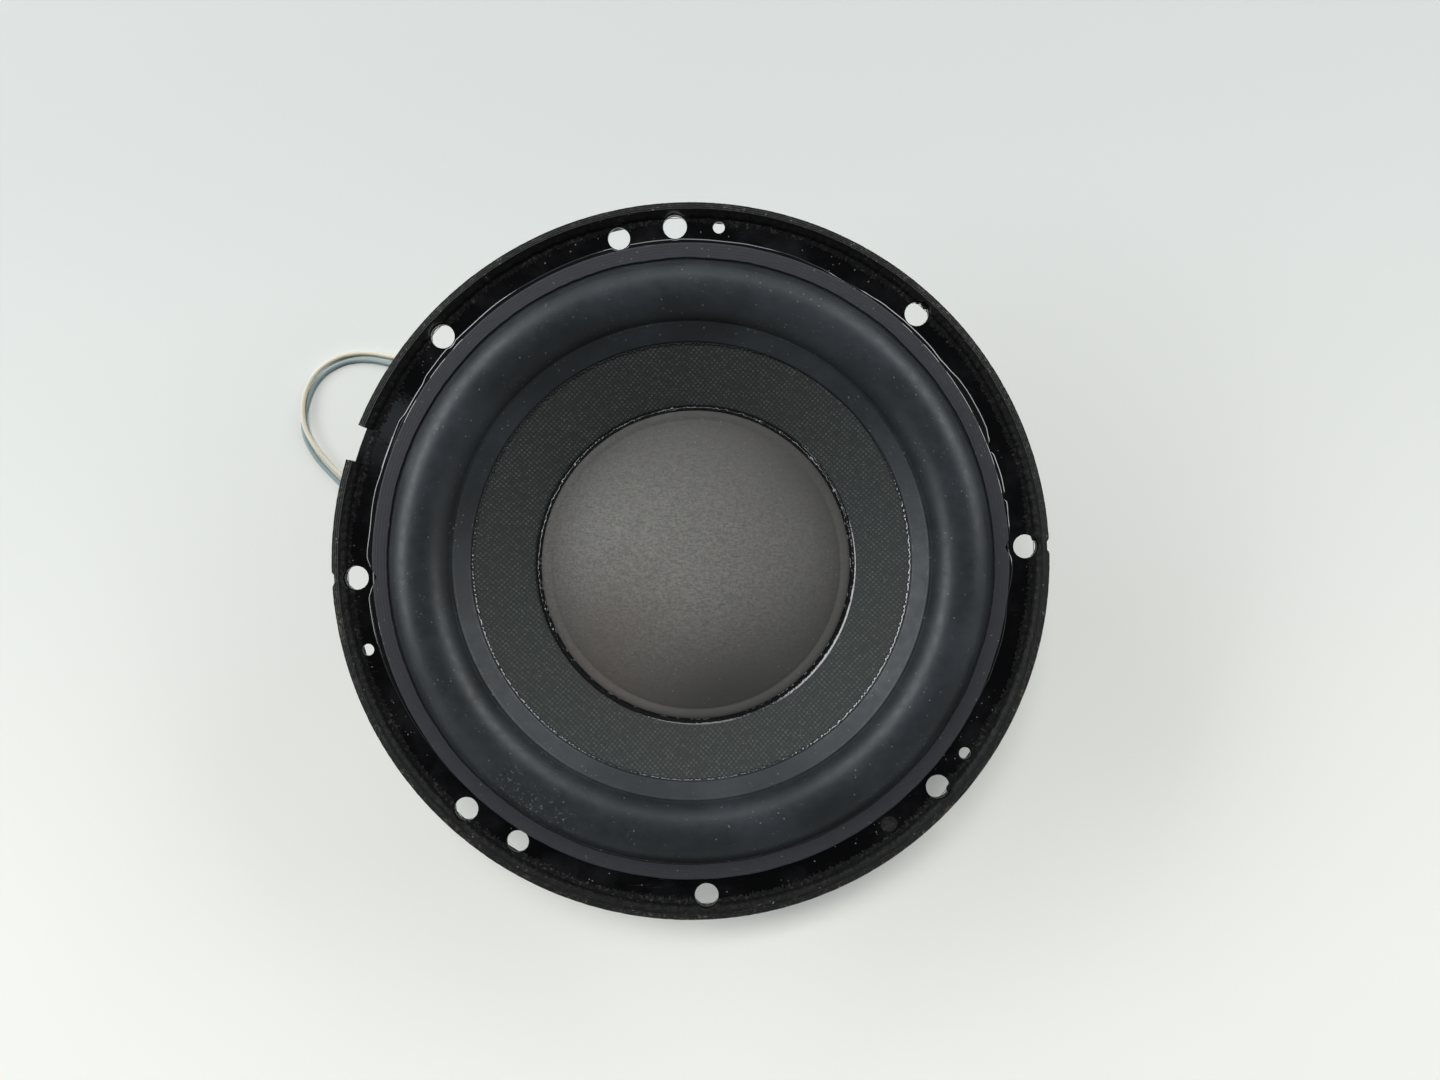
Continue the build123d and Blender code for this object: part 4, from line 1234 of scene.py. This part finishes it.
# --- Edge seal --------------------------------------------------------------------------------------
@dataclass
class EdgeSeal:
    """Rubber profile round the flange, and the torn foam beside its foot."""

    radius: float = 107.5 * MM
    top: float = 84.0 * MM
    foot: float = 103.8 * MM
    lip: float = 105.35 * MM
    under: float = 103.3 * MM
    plate: float = 106.0 * MM
    gap_from: float = 154.8
    gap_to: float = 160.6
    notch_long: float = 4.2 * MM
    notch_deep: float = 0.75 * MM
    hole_clearance: float = 0.3 * MM
    segments: int = 1080
    # Torn foam: the skin's stations, drawn width and thickness, then the shreds' number and both sizes
    skin_stations: int = 2400
    skin_wide: float = 1.0 * MM
    skin_thick: float = 0.26 * MM
    shreds: int = 800
    shred_size: float = 0.17 * MM
    bite_size: float = 0.42 * MM
    # Bolt hole's angle, distance from its centre in mm and direction in degrees of each crumb at its edge
    bites: tuple[Place, ...] = (
        (0.0, 3.5, 40.0), (0.0, 3.45, 52.0), (45.0, 3.4, 36.0), (45.0, 3.25, 44.0), (45.0, 3.45, 52.0),
        (45.0, 3.5, 78.0), (45.0, 3.3, 86.0), (315.0, 3.5, -20.0), (315.0, 3.4, -12.0), (315.0, 3.5, -3.0),
    )

    def outline(self) -> list[Point]:
        """Cross-section with a rounded corner below and fine ribs along its crown."""
        back = FLANGE_TOP - 1.2 * MM
        low = back - 1.8 * MM
        corner = 0.7 * MM
        crown = [
            (self.foot, FLANGE_TOP), (self.foot + 0.15 * MM, FLANGE_TOP + 0.8 * MM),
            (self.foot + 0.6 * MM, self.top - 2.0 * MM), (self.lip - 0.45 * MM, self.top - 1.5 * MM),
            (self.lip - 0.1 * MM, self.top - 0.6 * MM), (self.lip + 0.1 * MM, self.top - 0.25 * MM),
        ]
        ribs = np.linspace(self.lip + 0.2 * MM, self.radius - 0.2 * MM, 13)
        crown += [(r, self.top - (0.02, 0.09, 0.16, 0.09)[k % 4] * MM) for k, r in enumerate(ribs)]
        crown += [(self.radius - 0.08 * MM, self.top - 0.06 * MM), (self.radius, self.top - 0.25 * MM)]
        skirt = [(self.radius, low + corner)]
        skirt += arc((self.radius - corner, low + corner), corner, -10.0, -80.0, 4)
        inner = [(self.under, low), (self.under, back), (self.plate, back), (self.plate, FLANGE_TOP)]
        return refine(crown + skirt + inner, 1.2 * MM)

    def shift(self, angle: Grid, radius: Grid, height: Grid) -> Shifted:
        """Cut the notches, keep clear of the bolt holes and roughen the skin."""
        off = (angle + math.pi / 2) % math.pi - math.pi / 2
        inside = np.clip((self.notch_long / 2 - np.abs(off) * self.radius) / (0.7 * MM), 0.0, 1.0)
        radius = np.minimum(radius, self.radius - self.notch_deep * inside)
        pitch = TURN / BOLTS
        to_hole = (angle + pitch / 2) % pitch - pitch / 2
        clear = BOLT_HOLE_R + self.hole_clearance
        side = BOLT_RING * np.sin(to_hole)
        edge = BOLT_RING * np.cos(to_hole) + np.sqrt(np.maximum(clear**2 - side**2, 0.0))
        radius = np.where((np.abs(side) < clear) & (radius < edge), edge, radius)
        crown = height > FLANGE_TOP + 0.5 * MM
        rough = roughness(1100 * radius * np.cos(angle), 1100 * radius * np.sin(angle), 900 * height)
        inner = crown & (radius < self.lip + 0.3 * MM)
        torn = 0.22 * MM * np.clip(ripple(angle, 5, 90, 420), -1.0, 1.0)
        radius = radius + np.where(inner, torn, 0.0) * np.clip((self.lip - radius) / (1.2 * MM), 0.0, 1.0)
        low_edge = height < FLANGE_TOP
        lift = np.where(crown & (height < self.top - 0.3 * MM), 0.12 * MM, 0.05 * MM) * rough
        height = np.where(low_edge, height, np.minimum(height + np.where(crown, lift, 0.0), self.top))
        waver = np.where(crown & (radius > self.lip), 0.05 * MM * rough, 0.0)
        return np.minimum(radius + waver, self.radius), height

    def build(self) -> None:
        """Make the seal and the foam left on the flange."""
        lathe = Lathe(self.outline(), self.segments, (0.0, 0.0), self.gap_to, 360.0 + self.gap_from)
        finish_piece(lathe.build("seal_profile", self.shift, 55.0), SEAL_RUBBER, FRAME_BODY, "edge_seal")
        self.skin()
        self.shred()

    def torn_edge(self, angle: Grid) -> Grid:
        """Radius that the torn foam reaches inwards at each angle."""
        reach = 1.55 + 0.5 * ripple(angle, 8, 3, 30) + 0.25 * ripple(angle, 9, 60, 200)
        reach += 0.3 * ripple(angle, 10, 300, 700)
        return self.foot + 0.1 * MM - np.clip(reach, 0.15, 2.9) * MM

    @staticmethod
    def clinging(bolt: float, reach: float, way: float) -> Place:
        """Place of a crumb that clings to the edge of a bolt hole.

        Args:
            bolt: The hole's angle in degrees.
            reach: Distance from the hole's centre in mm.
            way: Direction from the hole's centre in degrees.

        Returns:
            The place.
        """
        turn, way = math.radians(bolt), math.radians(way)
        x = BOLT_RING * math.cos(turn) + reach * MM * math.cos(way)
        y = BOLT_RING * math.sin(turn) + reach * MM * math.sin(way)
        return x, y, FLANGE_TOP + 0.05 * MM

    def skin(self) -> None:
        """Torn foam on the flange beside the seal's foot: a thin ragged skin."""
        start = self.foot + 0.1 * MM
        outline = [(start, FLANGE_TOP)]
        outline += [(start - t * self.skin_wide, FLANGE_TOP + self.skin_thick * (1 - 0.5 * t))
                    for t in np.linspace(0.0, 1.0, 8)]
        outline += [(start - 1.02 * self.skin_wide, FLANGE_TOP)]

        def shift(angle: Grid, radius: Grid, height: Grid) -> Shifted:
            """Stretch the skin to its torn edge, keep it off the holes and roughen it."""
            inner = np.maximum(self.torn_edge(angle), clear_of_holes(angle, self.foot, 0.25 * MM))
            moved = start - (start - radius) / self.skin_wide * (start - np.minimum(inner, self.foot))
            rough = roughness(1500 * moved * np.cos(angle), 1500 * moved * np.sin(angle))
            lifted = FLANGE_TOP + (height - FLANGE_TOP) * (0.75 + 0.9 * rough) + 0.02 * MM
            return moved, np.where(height > FLANGE_TOP + 1e-6, lifted, height)

        piece = Lathe(outline, self.skin_stations).build("foam_skin", shift, 80.0)
        finish_piece(piece, TORN_FOAM, FRAME_BODY, "gasket_residue")

    def shred(self) -> None:
        """Loose shreds along the skin's edge, and crumbs at the edges of three bolt holes."""
        rng = np.random.default_rng(11)
        angle = rng.uniform(0, TURN, self.shreds)
        radius = self.torn_edge(angle) + rng.normal(0.25, 0.35, self.shreds) * MM
        keep = radius > clear_of_holes(angle, self.foot, 0.45 * MM)
        keep &= radius < self.foot - 0.1 * MM
        up = np.full(self.shreds, FLANGE_TOP + 0.12 * MM)
        places = np.stack([radius * np.cos(angle), radius * np.sin(angle), up], axis=1)[keep]
        bites = np.array([self.clinging(*bite) for bite in self.bites])
        tree = crumbs_tree("foam_crumbs", TORN_FOAM.material())
        both = (("foam_shreds", places, self.shred_size), ("hole_shreds", bites, self.bite_size))
        for name, spots, size in both:
            host = points_object("crumb_places", spots)
            crumbs = tree.run(host, name, {"Size": size, "Flatness": 0.6, "Seed": 4})
            finish_piece(crumbs, TORN_FOAM, FRAME_BODY, "gasket_residue")


# --- Surround ---------------------------------------------------------------------------------------
@dataclass
class Surround:
    """Rubber half-roll with its outer and inner lands."""

    land: float = 96.2 * MM
    land_in: float = 91.6 * MM
    land_thick: float = 1.6 * MM
    roll_out: float = 91.1 * MM
    roll_in: float = 72.9 * MM
    crest: float = 88.0 * MM
    rubber: float = 1.0 * MM
    inner_land: float = 67.1 * MM
    segments: int = 540

    def roll_arc(self, foot_out: Point, top: float, foot_in: Point, count: int) -> list[Point]:
        """Arc through two feet and the crest, from the outer foot to the inner one.

        Args:
            foot_out: Radius and height of the outer foot.
            top: Height of the crest.
            foot_in: Radius and height of the inner foot.
            count: Number of points.

        Returns:
            The arc's points.
        """
        base = (foot_out[1] + foot_in[1]) / 2
        half = (foot_out[0] - foot_in[0]) / 2
        rise = top - base
        radius = (half**2 + rise**2) / (2 * rise)
        open_angle = math.degrees(math.asin(half / radius))
        centre = ((foot_out[0] + foot_in[0]) / 2, top - radius)
        points = arc(centre, radius, 90 - open_angle, 90 + open_angle, count)
        tilt = [(foot_out[1] - base) * (1 - 2 * k / (count - 1)) for k in range(count)]
        return [(r, z + t) for (r, z), t in zip(points, tilt)]

    def outline(self) -> list[Point]:
        """Cross-section from the outer land over the roll to the inner land and back beneath."""
        face = FLANGE_TOP + self.land_thick
        edge = 0.35 * MM
        outer = [(self.land, FLANGE_TOP), (self.land, face - edge)]
        outer += arc((self.land - edge, face - edge), edge, 10, 80, 4)
        steps = np.linspace(self.land - 0.7 * MM, self.land_in + 0.3 * MM, 26)
        outer += [(r, face + 0.012 * MM * math.sin((r - self.land_in) / (0.9 * MM) * TURN)) for r in steps]
        outer += arc((self.land_in + 0.2 * MM, face - 0.2 * MM), 0.2 * MM, 90, 180, 4)
        groove = [(self.land_in - 0.1 * MM, FLANGE_TOP + 0.75 * MM),
                  (self.roll_out + 0.12 * MM, FLANGE_TOP + 0.7 * MM)]
        foot_in = (self.roll_in, FLANGE_TOP + self.rubber + 0.2 * MM)
        roll = self.roll_arc((self.roll_out, FLANGE_TOP + self.rubber), self.crest, foot_in, 72)
        crease = [(self.roll_in - back * MM, foot_in[1] - down * MM)
                  for back, down in ((0.2, 0.3), (0.45, 0.32), (0.75, 0.3))]
        steps = np.linspace(self.roll_in - 1.0 * MM, self.inner_land + 0.4 * MM, 12)
        land = [(r, cone_face(r) + self.rubber) for r in steps]
        rim = cone_face(self.inner_land)
        lip = [(self.inner_land + 0.12 * MM, rim + self.rubber * 0.9),
               (self.inner_land, rim + self.rubber * 0.6), (self.inner_land, rim + 0.02 * MM)]
        foot_under = (self.roll_in + self.rubber, FLANGE_TOP + 0.4 * MM)
        under_land = [(CONE_EDGE, FLANGE_TOP + 0.02 * MM), foot_under]
        beneath = self.roll_arc((self.roll_out - self.rubber, FLANGE_TOP + 0.02 * MM),
                                self.crest - self.rubber, foot_under, 40)[::-1]
        return outer + groove + roll + crease + land + lip + under_land + beneath[1:]

    def shift(self, angle: Grid, radius: Grid, height: Grid) -> Shifted:
        """Notch the land at two sides, and let the roll and the trimmed edge waver a little."""
        off = (angle + math.pi / 2) % math.pi - math.pi / 2
        half = 1.35 * MM
        side = self.land * np.sin(off)
        bite = self.land - np.sqrt(np.maximum(half**2 - side**2, 0.0))
        radius = np.where((np.abs(side) < half) & (radius > bite), bite, radius)
        share = np.clip((self.roll_out - radius) / (self.roll_out - self.roll_in), 0.0, 1.0)
        on_roll = np.sin(share * math.pi)
        height = height + 0.09 * MM * on_roll * (ripple(angle, 21, 2, 9) - 0.6)
        near_groove = np.exp(-(((radius - self.land_in) / (0.55 * MM)) ** 2))
        waver = 0.13 * ripple(angle, 23, 4, 40) + 0.05 * ripple(angle, 24, 60, 160)
        radius = radius + near_groove * waver * MM
        trimmed = radius > self.land - 0.5 * MM
        radius = radius - np.where(trimmed, 0.10 * MM * np.abs(ripple(angle, 22, 6, 60)), 0.0)
        return radius, height

    def build(self) -> None:
        """Make the surround."""
        piece = Lathe(self.outline(), self.segments).build("surround_roll", self.shift, 50.0)
        finish_piece(piece, ROLL_RUBBER, None, "surround")
        bend_between(piece)


# --- Adhesives --------------------------------------------------------------------------------------
@dataclass
class Adhesives:
    """Glue squeezed out at the surround's outer land, and the line along its inner land."""

    land: float = 96.15 * MM
    rim: float = 0.6 * MM
    cone_line: float = 67.05 * MM
    stations: int = 1440
    # Middle and half span in degrees of each side where glue has crept onto the land
    crept: tuple[Point, ...] = ((29.0, 25.0), (144.0, 15.0))
    # Angle in degrees and width in mm of the squeezed-out glue
    marks: tuple[Point, ...] = (
        (0.0, 0.2), (4.0, 0.6), (8.0, 0.95), (9.0, 0.2), (10.0, 0.9), (13.0, 1.1), (16.5, 0.95),
        (18.2, 0.15), (19.8, 1.2), (22.0, 1.9), (28.0, 2.05), (31.0, 1.8), (34.5, 1.1), (36.5, 0.8),
        (39.5, 1.1), (45.0, 1.0), (50.0, 0.95), (54.0, 0.6), (58.0, 0.4), (64.0, 0.7), (69.0, 1.1),
        (80.0, 1.0), (92.0, 1.2), (102.0, 1.25), (116.0, 1.15), (124.0, 1.35), (131.0, 1.2),
        (137.5, 1.55), (142.0, 1.55), (144.0, 0.95), (149.5, 1.0), (151.6, 1.65), (156.5, 1.3),
        (161.0, 1.3), (165.0, 1.65), (171.0, 1.35), (176.0, 1.75), (179.5, 0.3), (181.0, 0.3),
        (184.0, 1.85), (190.0, 1.9), (196.0, 1.6), (204.0, 1.0), (214.0, 0.5), (230.0, 0.25),
        (328.0, 0.25), (336.0, 0.55), (344.0, 0.8), (350.5, 0.35), (356.0, 1.0), (360.0, 0.2),
    )

    def squeeze_width(self, angle: Grid) -> Grid:
        """Width of the squeezed-out glue from its marks, eased between them."""
        turns, widths = np.array(self.marks).T
        degrees = np.degrees(angle) % 360.0
        after = np.clip(np.searchsorted(turns, degrees, side="right"), 1, len(turns) - 1)
        share = np.clip((degrees - turns[after - 1]) / (turns[after] - turns[after - 1]), 0.0, 1.0)
        eased = share * share * (3.0 - 2.0 * share)
        width = widths[after - 1] + (widths[after] - widths[after - 1]) * eased
        width += 0.05 * ripple(angle, 31, 20, 90)
        return (width + 0.5 * np.clip((width - 0.3) / 0.3, 0.0, 1.0)) * MM

    def squeeze_shift(self, angle: Grid, radius: Grid, height: Grid) -> Shifted:
        """Stretch the film to the width of the glue and let its rim keep its own width."""
        room = room_before_holes(angle, 0.12 * MM) - self.land
        width = np.maximum(np.minimum(self.squeeze_width(angle), room), 0.1 * MM)
        rim = np.minimum(self.rim, width / 2)
        along = (radius - self.land) / MM
        film = along <= 1.0
        moved = np.where(film, along * (width - rim), width - rim + (along - 1.0) * rim)
        squash = np.where(film, 1.0, rim / self.rim)
        return self.land + moved, FLANGE_TOP + (height - FLANGE_TOP) * squash

    def build(self) -> None:
        """Make the glue squeezed onto the flange, then the two thin lines."""
        steps = ((0.0, 0.5), (0.06, 0.22), (0.2, 0.1), (0.4, 0.07), (0.7, 0.06), (1.0, 0.08), (1.08, 0.2),
                 (1.16, 0.235), (1.25, 0.225), (1.45, 0.18), (1.65, 0.13), (1.85, 0.075), (2.0, 0.02),
                 (0.0, 0.0))
        outline = [(self.land + out * MM, FLANGE_TOP + up * MM) for out, up in steps]
        piece = Lathe(outline, self.stations).build("squeezed_glue", self.squeeze_shift, 70.0)
        finish_piece(piece, BLACK_GLUE, FRAME_BODY, "flange_adhesive")
        self.crept_line()
        self.inner_line()

    def crept_line(self) -> None:
        """Thin skin of glue that has crept onto the edge of the outer land at two sides."""
        face = FLANGE_TOP + 1.6 * MM
        steps = ((-0.42, -0.4), (-0.38, 0.0), (-0.32, 0.04), (-0.24, 0.02), (-0.1, -0.03), (0.06, -0.1),
                 (0.08, -0.4))
        outline = [(self.land + out * MM, face + up * MM) for out, up in steps]

        def shift(angle: Grid, radius: Grid, height: Grid) -> Shifted:
            """Sink the skin into the land away from the two sides, and let its inner edge wander."""
            degrees = np.degrees(angle) % 360.0
            sides = [1.0 - (np.abs(degrees - middle) / half) ** 6 for middle, half in self.crept]
            there = np.max(sides, axis=0)
            there = np.clip(there + 0.3 * ripple(angle, 33, 12, 70) - 0.05, 0.0, 1.0)
            outer = self.land + 0.08 * MM
            moved = outer - (outer - radius) * (0.7 + 0.3 * there) - 0.25 * MM * (1.0 - there)
            return moved, height - 0.3 * MM * (1.0 - there)

        piece = Lathe(outline, self.stations).build("crept_glue", shift, 70.0)
        finish_piece(piece, BLACK_GLUE, FRAME_BODY, "flange_adhesive")

    def inner_line(self) -> None:
        """Thin broken line of glue along the inner land."""
        foot = cone_face(self.cone_line)
        steps = ((0.0, 0.03), (0.0, 0.5), (0.1, 0.47), (0.2, 0.4), (0.35, 0.29), (0.5, 0.18), (0.58, 0.06),
                 (0.62, -0.3))
        outline = [(self.cone_line - back * MM, foot + up * MM) for back, up in steps]

        def shift(angle: Grid, radius: Grid, height: Grid) -> Shifted:
            """Swell and thin the line along its way."""
            swell = np.clip(0.8 + 0.7 * ripple(angle, 41, 60, 420), 0.15, 1.5)
            degrees = np.degrees(angle) % 360.0
            bare = np.exp(-(((degrees - 50.0) / 24.0) ** 4))
            thin = np.exp(-(((degrees - 240.0) / 55.0) ** 4))
            swell = swell * (1.0 - 0.85 * bare) * (1.0 - 0.3 * thin)
            moved = self.cone_line - (self.cone_line - radius) * swell
            drop = CONE_SLOPE * (radius - moved)
            return moved, height - np.where(height > foot + 0.3 * MM, 0.0, drop)

        piece = Lathe(outline, 1200).build("inner_glue_line", shift, 70.0)
        finish_piece(piece, BEADED_GLUE, MOVING_BODY, "cone_adhesive")


# --- Cone and dust cap ------------------------------------------------------------------------------
@dataclass
class ConeAssembly:
    """Woven cone, domed dust cap and the glue bead between them."""

    neck: float = 19.9 * MM
    thick: float = 1.1 * MM
    cap: float = 48.6 * MM
    dome: float = 45.5 * MM
    rise: float = 12.0 * MM
    cap_thick: float = 0.8 * MM
    cap_seat: float = 66.5 * MM
    cap_centre: Point = (1.1 * MM, -1.3 * MM)
    bead: float = 50.4 * MM
    wire: float = 0.24 * MM
    # Crease and rolled rim in mm, outward from the dome's foot and up from the seat
    rim: tuple[Point, ...] = (
        (-0.1, 0.06), (0.1, 0.0), (0.35, 0.02), (0.8, 0.14), (1.4, 0.24), (2.0, 0.16),
    )

    def build(self) -> None:
        """Make cone, cap, bead and winding."""
        self.cone()
        self.dust_cap()
        self.cap_bead()
        self.winding()

    def cone(self) -> None:
        """Cone of pressed cloth."""
        top = [(r, cone_face(r)) for r in np.linspace(CONE_EDGE, self.neck, 60)]
        bottom = [(r, cone_face(r) - self.thick) for r in np.linspace(self.neck, CONE_EDGE, 60)]

        def shift(angle: Grid, radius: Grid, height: Grid) -> Shifted:
            """Let the pressed cloth waver by a few hundredths."""
            inside = np.clip((CONE_EDGE - 6 * MM - radius) / (4 * MM), 0.0, 1.0)
            return radius, height - 0.05 * MM * inside * (1.0 + ripple(angle, 51, 3, 14))

        piece = Lathe(top + bottom, 360).build("woven_cone", shift, 60.0)
        finish_piece(piece, CONE_CLOTH, MOVING_BODY, "cone")

    def dust_cap(self) -> None:
        """Dome with a crease and a narrow rolled rim."""
        sphere = (self.dome**2 + self.rise**2) / (2 * self.rise)
        seat = self.cap_seat + self.cap_thick
        crown = seat + self.rise
        steps = np.linspace(0.0, self.dome - 0.35 * MM, 56)
        outer = [(r, seat + 0.1 * MM + (self.rise - 0.1 * MM) * (1 - (r / self.dome) ** 2.35)) for r in steps]
        rim = [(self.dome + out * MM, seat + up * MM) for out, up in self.rim]
        rim += [(self.cap - 0.15 * MM, seat - 0.06 * MM), (self.cap, seat - 0.35 * MM)]
        rim += [(self.cap, self.cap_seat)]
        inside = sphere - self.cap_thick
        foot = math.sqrt(inside**2 - (self.cap_seat - crown + sphere) ** 2)
        steps = np.linspace(foot - 1.0 * MM, 0.0, 24)
        inner = [(foot, self.cap_seat)] + [(r, crown - sphere + math.sqrt(inside**2 - r**2)) for r in steps]
        lathe = Lathe(outer + rim + inner, 320, self.cap_centre)
        finish_piece(lathe.build("cap_dome", None, 60.0), CAP_FIBRE, MOVING_BODY, "dust_cap")

    def cap_bead(self) -> None:
        """Lumpy glue bead in the corner between cap and cone."""
        seat = self.cap_seat + self.cap_thick
        start = self.cap + 0.03 * MM
        low = self.cap_seat - 3.0 * MM
        wide = self.bead - self.cap
        outline = [(start + t * wide, seat + 0.15 * MM * math.sin(t * math.pi) - 0.75 * MM * t * t)
                   for t in np.linspace(0.0, 1.0, 9)]
        outline += [(self.bead, low), (start, low)]

        def shift(angle: Grid, radius: Grid, height: Grid) -> Shifted:
            """Lay the bead's underside on the cone and lump its skin."""
            x = self.cap_centre[0] + radius * np.cos(angle)
            y = self.cap_centre[1] + radius * np.sin(angle)
            cloth = cone_face(np.hypot(x, y)) + 0.02 * MM
            top = np.maximum(height + 0.22 * MM * roughness(1300 * x, 1300 * y), cloth + 0.03 * MM)
            return radius, np.where(height < self.cap_seat - 1.0 * MM, cloth, top)

        piece = Lathe(outline, 900, self.cap_centre).build("cap_glue_bead", shift, 70.0)
        finish_piece(piece, BEADED_GLUE, MOVING_BODY, "cap_adhesive")

    def winding(self) -> None:
        """Voice coil wound round the former."""
        low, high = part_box("voice_coil")
        length = high[2] - low[2] - 2 * self.wire
        host = points_object("winding_host", np.zeros((1, 3)))
        winding = winding_tree(COPPER.material()).run(host, "coil_winding", {
            "Turns": length / (2 * self.wire), "Radius": high[0] - self.wire, "Height": length,
            "Wire": self.wire, "Low": low[2] + self.wire,
        })
        winding.data.shade_smooth()
        finish_piece(winding, COPPER, MOVING_BODY, "voice_coil")


# --- Spider and tinsel leads ------------------------------------------------------------------------
@dataclass
class Suspension:
    """Corrugated spider and the two woven leads that flex with the cone."""

    neck: float = 20.6 * MM
    bore: float = 19.9 * MM
    flat: float = 57.0 * MM
    edge: float = 64.5 * MM
    cloth: float = 0.6 * MM
    waves: int = 5
    rise: float = 1.4 * MM
    neck_top: float = 45.5 * MM
    # Tinsel lead: thickness, strands, a strand's corners and stations, its turn and swell between stations
    tinsel: float = 1.2 * MM
    strands: int = 8
    sides: int = 6
    stations: int = 90
    twist: float = 0.26
    swell: float = 0.52
    # Points of the route in mm, outward from the axis, along the rim and up, at the terminals' angle
    route: tuple[Place, ...] = (
        (66.0, 6.5, 45.6), (59.0, 6.5, 45.6), (50.5, 7.7, 50.2), (42.5, 8.1, 48.4), (39.3, 7.6, 51.0),
        (39.3, 7.6, 57.0),
    )

    def build(self) -> None:
        """Make the spider and both leads."""
        middle = SHELF_TOP + self.cloth / 2
        steps = np.linspace(self.neck, self.flat, 120)
        half = self.cloth / 2
        pitch = (self.flat - self.neck) / self.waves
        folds = [(r, middle - self.rise * math.sin((r - self.neck) / pitch * TURN)) for r in steps]
        outline = [(self.bore, middle - half), (self.bore, self.neck_top), (self.neck, self.neck_top)]
        outline += [(r, z + half) for r, z in folds]
        outline += [(self.edge, middle + half), (self.edge, middle - half)]
        outline += [(r, z - half) for r, z in reversed(folds)]
        piece = Lathe(outline, 240).build("corrugated_spider", None, 60.0)
        finish_piece(piece, SPIDER_CLOTH, None, "spider")
        bend_between(piece)
        for side, colour in ((-1, "cream"), (1, "blue")):
            self.lead(side, colour)

    def lead(self, side: int, colour: str) -> None:
        """One tinsel lead: thin strands woven round a curved path.

        Args:
            side: -1 or 1, the side of the terminal board.
            colour: The wire that it continues.
        """
        points = [by_terminals(o * MM, side * a * MM, up * MM) for o, a, up in self.route]
        path = smooth_path(points, self.stations)
        thread = self.tinsel * 0.19
        corners = [TURN * s / self.sides for s in range(self.sides)]
        vertices: list[Vector] = []
        faces: list[list[int]] = []
        for strand in range(self.strands):
            base = len(vertices)
            twist = self.twist if strand % 2 else -self.twist
            for k, (place, across, up) in enumerate(path):
                a = TURN * strand / self.strands + k * twist
                swell = 1.0 + 0.12 * math.sin(k * self.swell + strand * math.pi)
                reach = (self.tinsel / 2 - thread) * swell
                centre = place + across * (reach * math.cos(a)) + up * (reach * math.sin(a))
                vertices += [centre + across * (thread * math.cos(b)) + up * (thread * math.sin(b))
                             for b in corners]
            rings = [[base + k * self.sides + s for s in range(self.sides)] for k in range(len(path))]
            for near, far in zip(rings, rings[1:]):
                faces += [[near[s - 1], near[s], far[s], far[s - 1]] for s in range(self.sides)]
            faces += [rings[0][::-1], rings[-1]]
        piece = add_object(f"tinsel_{colour}_weave", np.array([tuple(v) for v in vertices]), faces)
        tidy_mesh(piece.data)
        finish_piece(piece, TINSEL, None, f"tinsel_lead_{colour}")
        bend_between(piece)


def smooth_path(points: list[Vector], count: int) -> list[tuple[Vector, Vector, Vector]]:
    """Places and cross directions along a smooth curve through control points.

    Args:
        points: Control points of the curve.
        count: Number of places.

    Returns:
        Place, sideways direction and upward direction of each.
    """
    mesh = evaluated_mesh(link_object("path", smooth_curve("path", points, 24)))
    line = np.array([tuple(v.co) for v in mesh.vertices])
    bpy.data.meshes.remove(mesh)
    reach = np.concatenate([[0.0], np.cumsum(np.linalg.norm(np.diff(line, axis=0), axis=1))])
    wanted = np.linspace(0.0, reach[-1], count)
    places = [Vector([np.interp(w, reach, line[:, axis]) for axis in range(3)]) for w in wanted]
    result = []
    side = Vector((0.0, 0.0, 1.0)).cross(places[1] - places[0]).normalized()
    for k, place in enumerate(places):
        way = (places[min(k + 1, count - 1)] - places[max(k - 1, 0)]).normalized()
        side = (side - way * side.dot(way)).normalized()
        result.append((place, side, way.cross(side)))
    return result


# --- Pieces that keep their CAD shape ---------------------------------------------------------------
CAD_FINISHES: dict[Finish, tuple[str, ...]] = {
    BASKET_BLACK: ("basket",),
    ZINC: ("top_plate", "yoke", "plate_rivets", "board_rivets"),
    MAGNET_FERRITE: ("magnet",),
    PAD_FOAM: ("hole_pad",),
    FORMER_FOIL: ("coil_former",),
    KRAFT: ("former_collar",),
    COPPER: ("coil_leadout_cream", "coil_leadout_blue"),
    BLACK_GLUE: ("lead_pad_cream", "lead_pad_blue"),
    PHENOLIC: ("terminal_board",),
    TINNED: ("terminal_cream", "terminal_blue", "terminal_rivets", "lug_cream", "lug_blue", "plug_contacts"),
    SLEEVE: ("lug_sleeve_cream", "lug_sleeve_blue"),
    NYLON: ("plug_housing",),
    LOCK_NYLON: ("plug_lock",),
}


def dress_cad_nodes() -> None:
    """Give every CAD node that keeps its shape its finish."""
    for finish, nodes in CAD_FINISHES.items():
        for node in nodes:
            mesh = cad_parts[node].data
            mesh.materials.clear()
            mesh.materials.append(finish.material())
            log.info("%s: %s", node, finish.name)


def main() -> None:
    """Build every sub-assembly in order."""
    logging.basicConfig(level=logging.INFO, format="%(name)s %(message)s")
    Studio().build()
    Lead().build()
    dress_cad_nodes()
    EdgeSeal().build()
    Surround().build()
    Adhesives().build()
    ConeAssembly().build()
    Suspension().build()


if __name__ == "__main__":
    main()
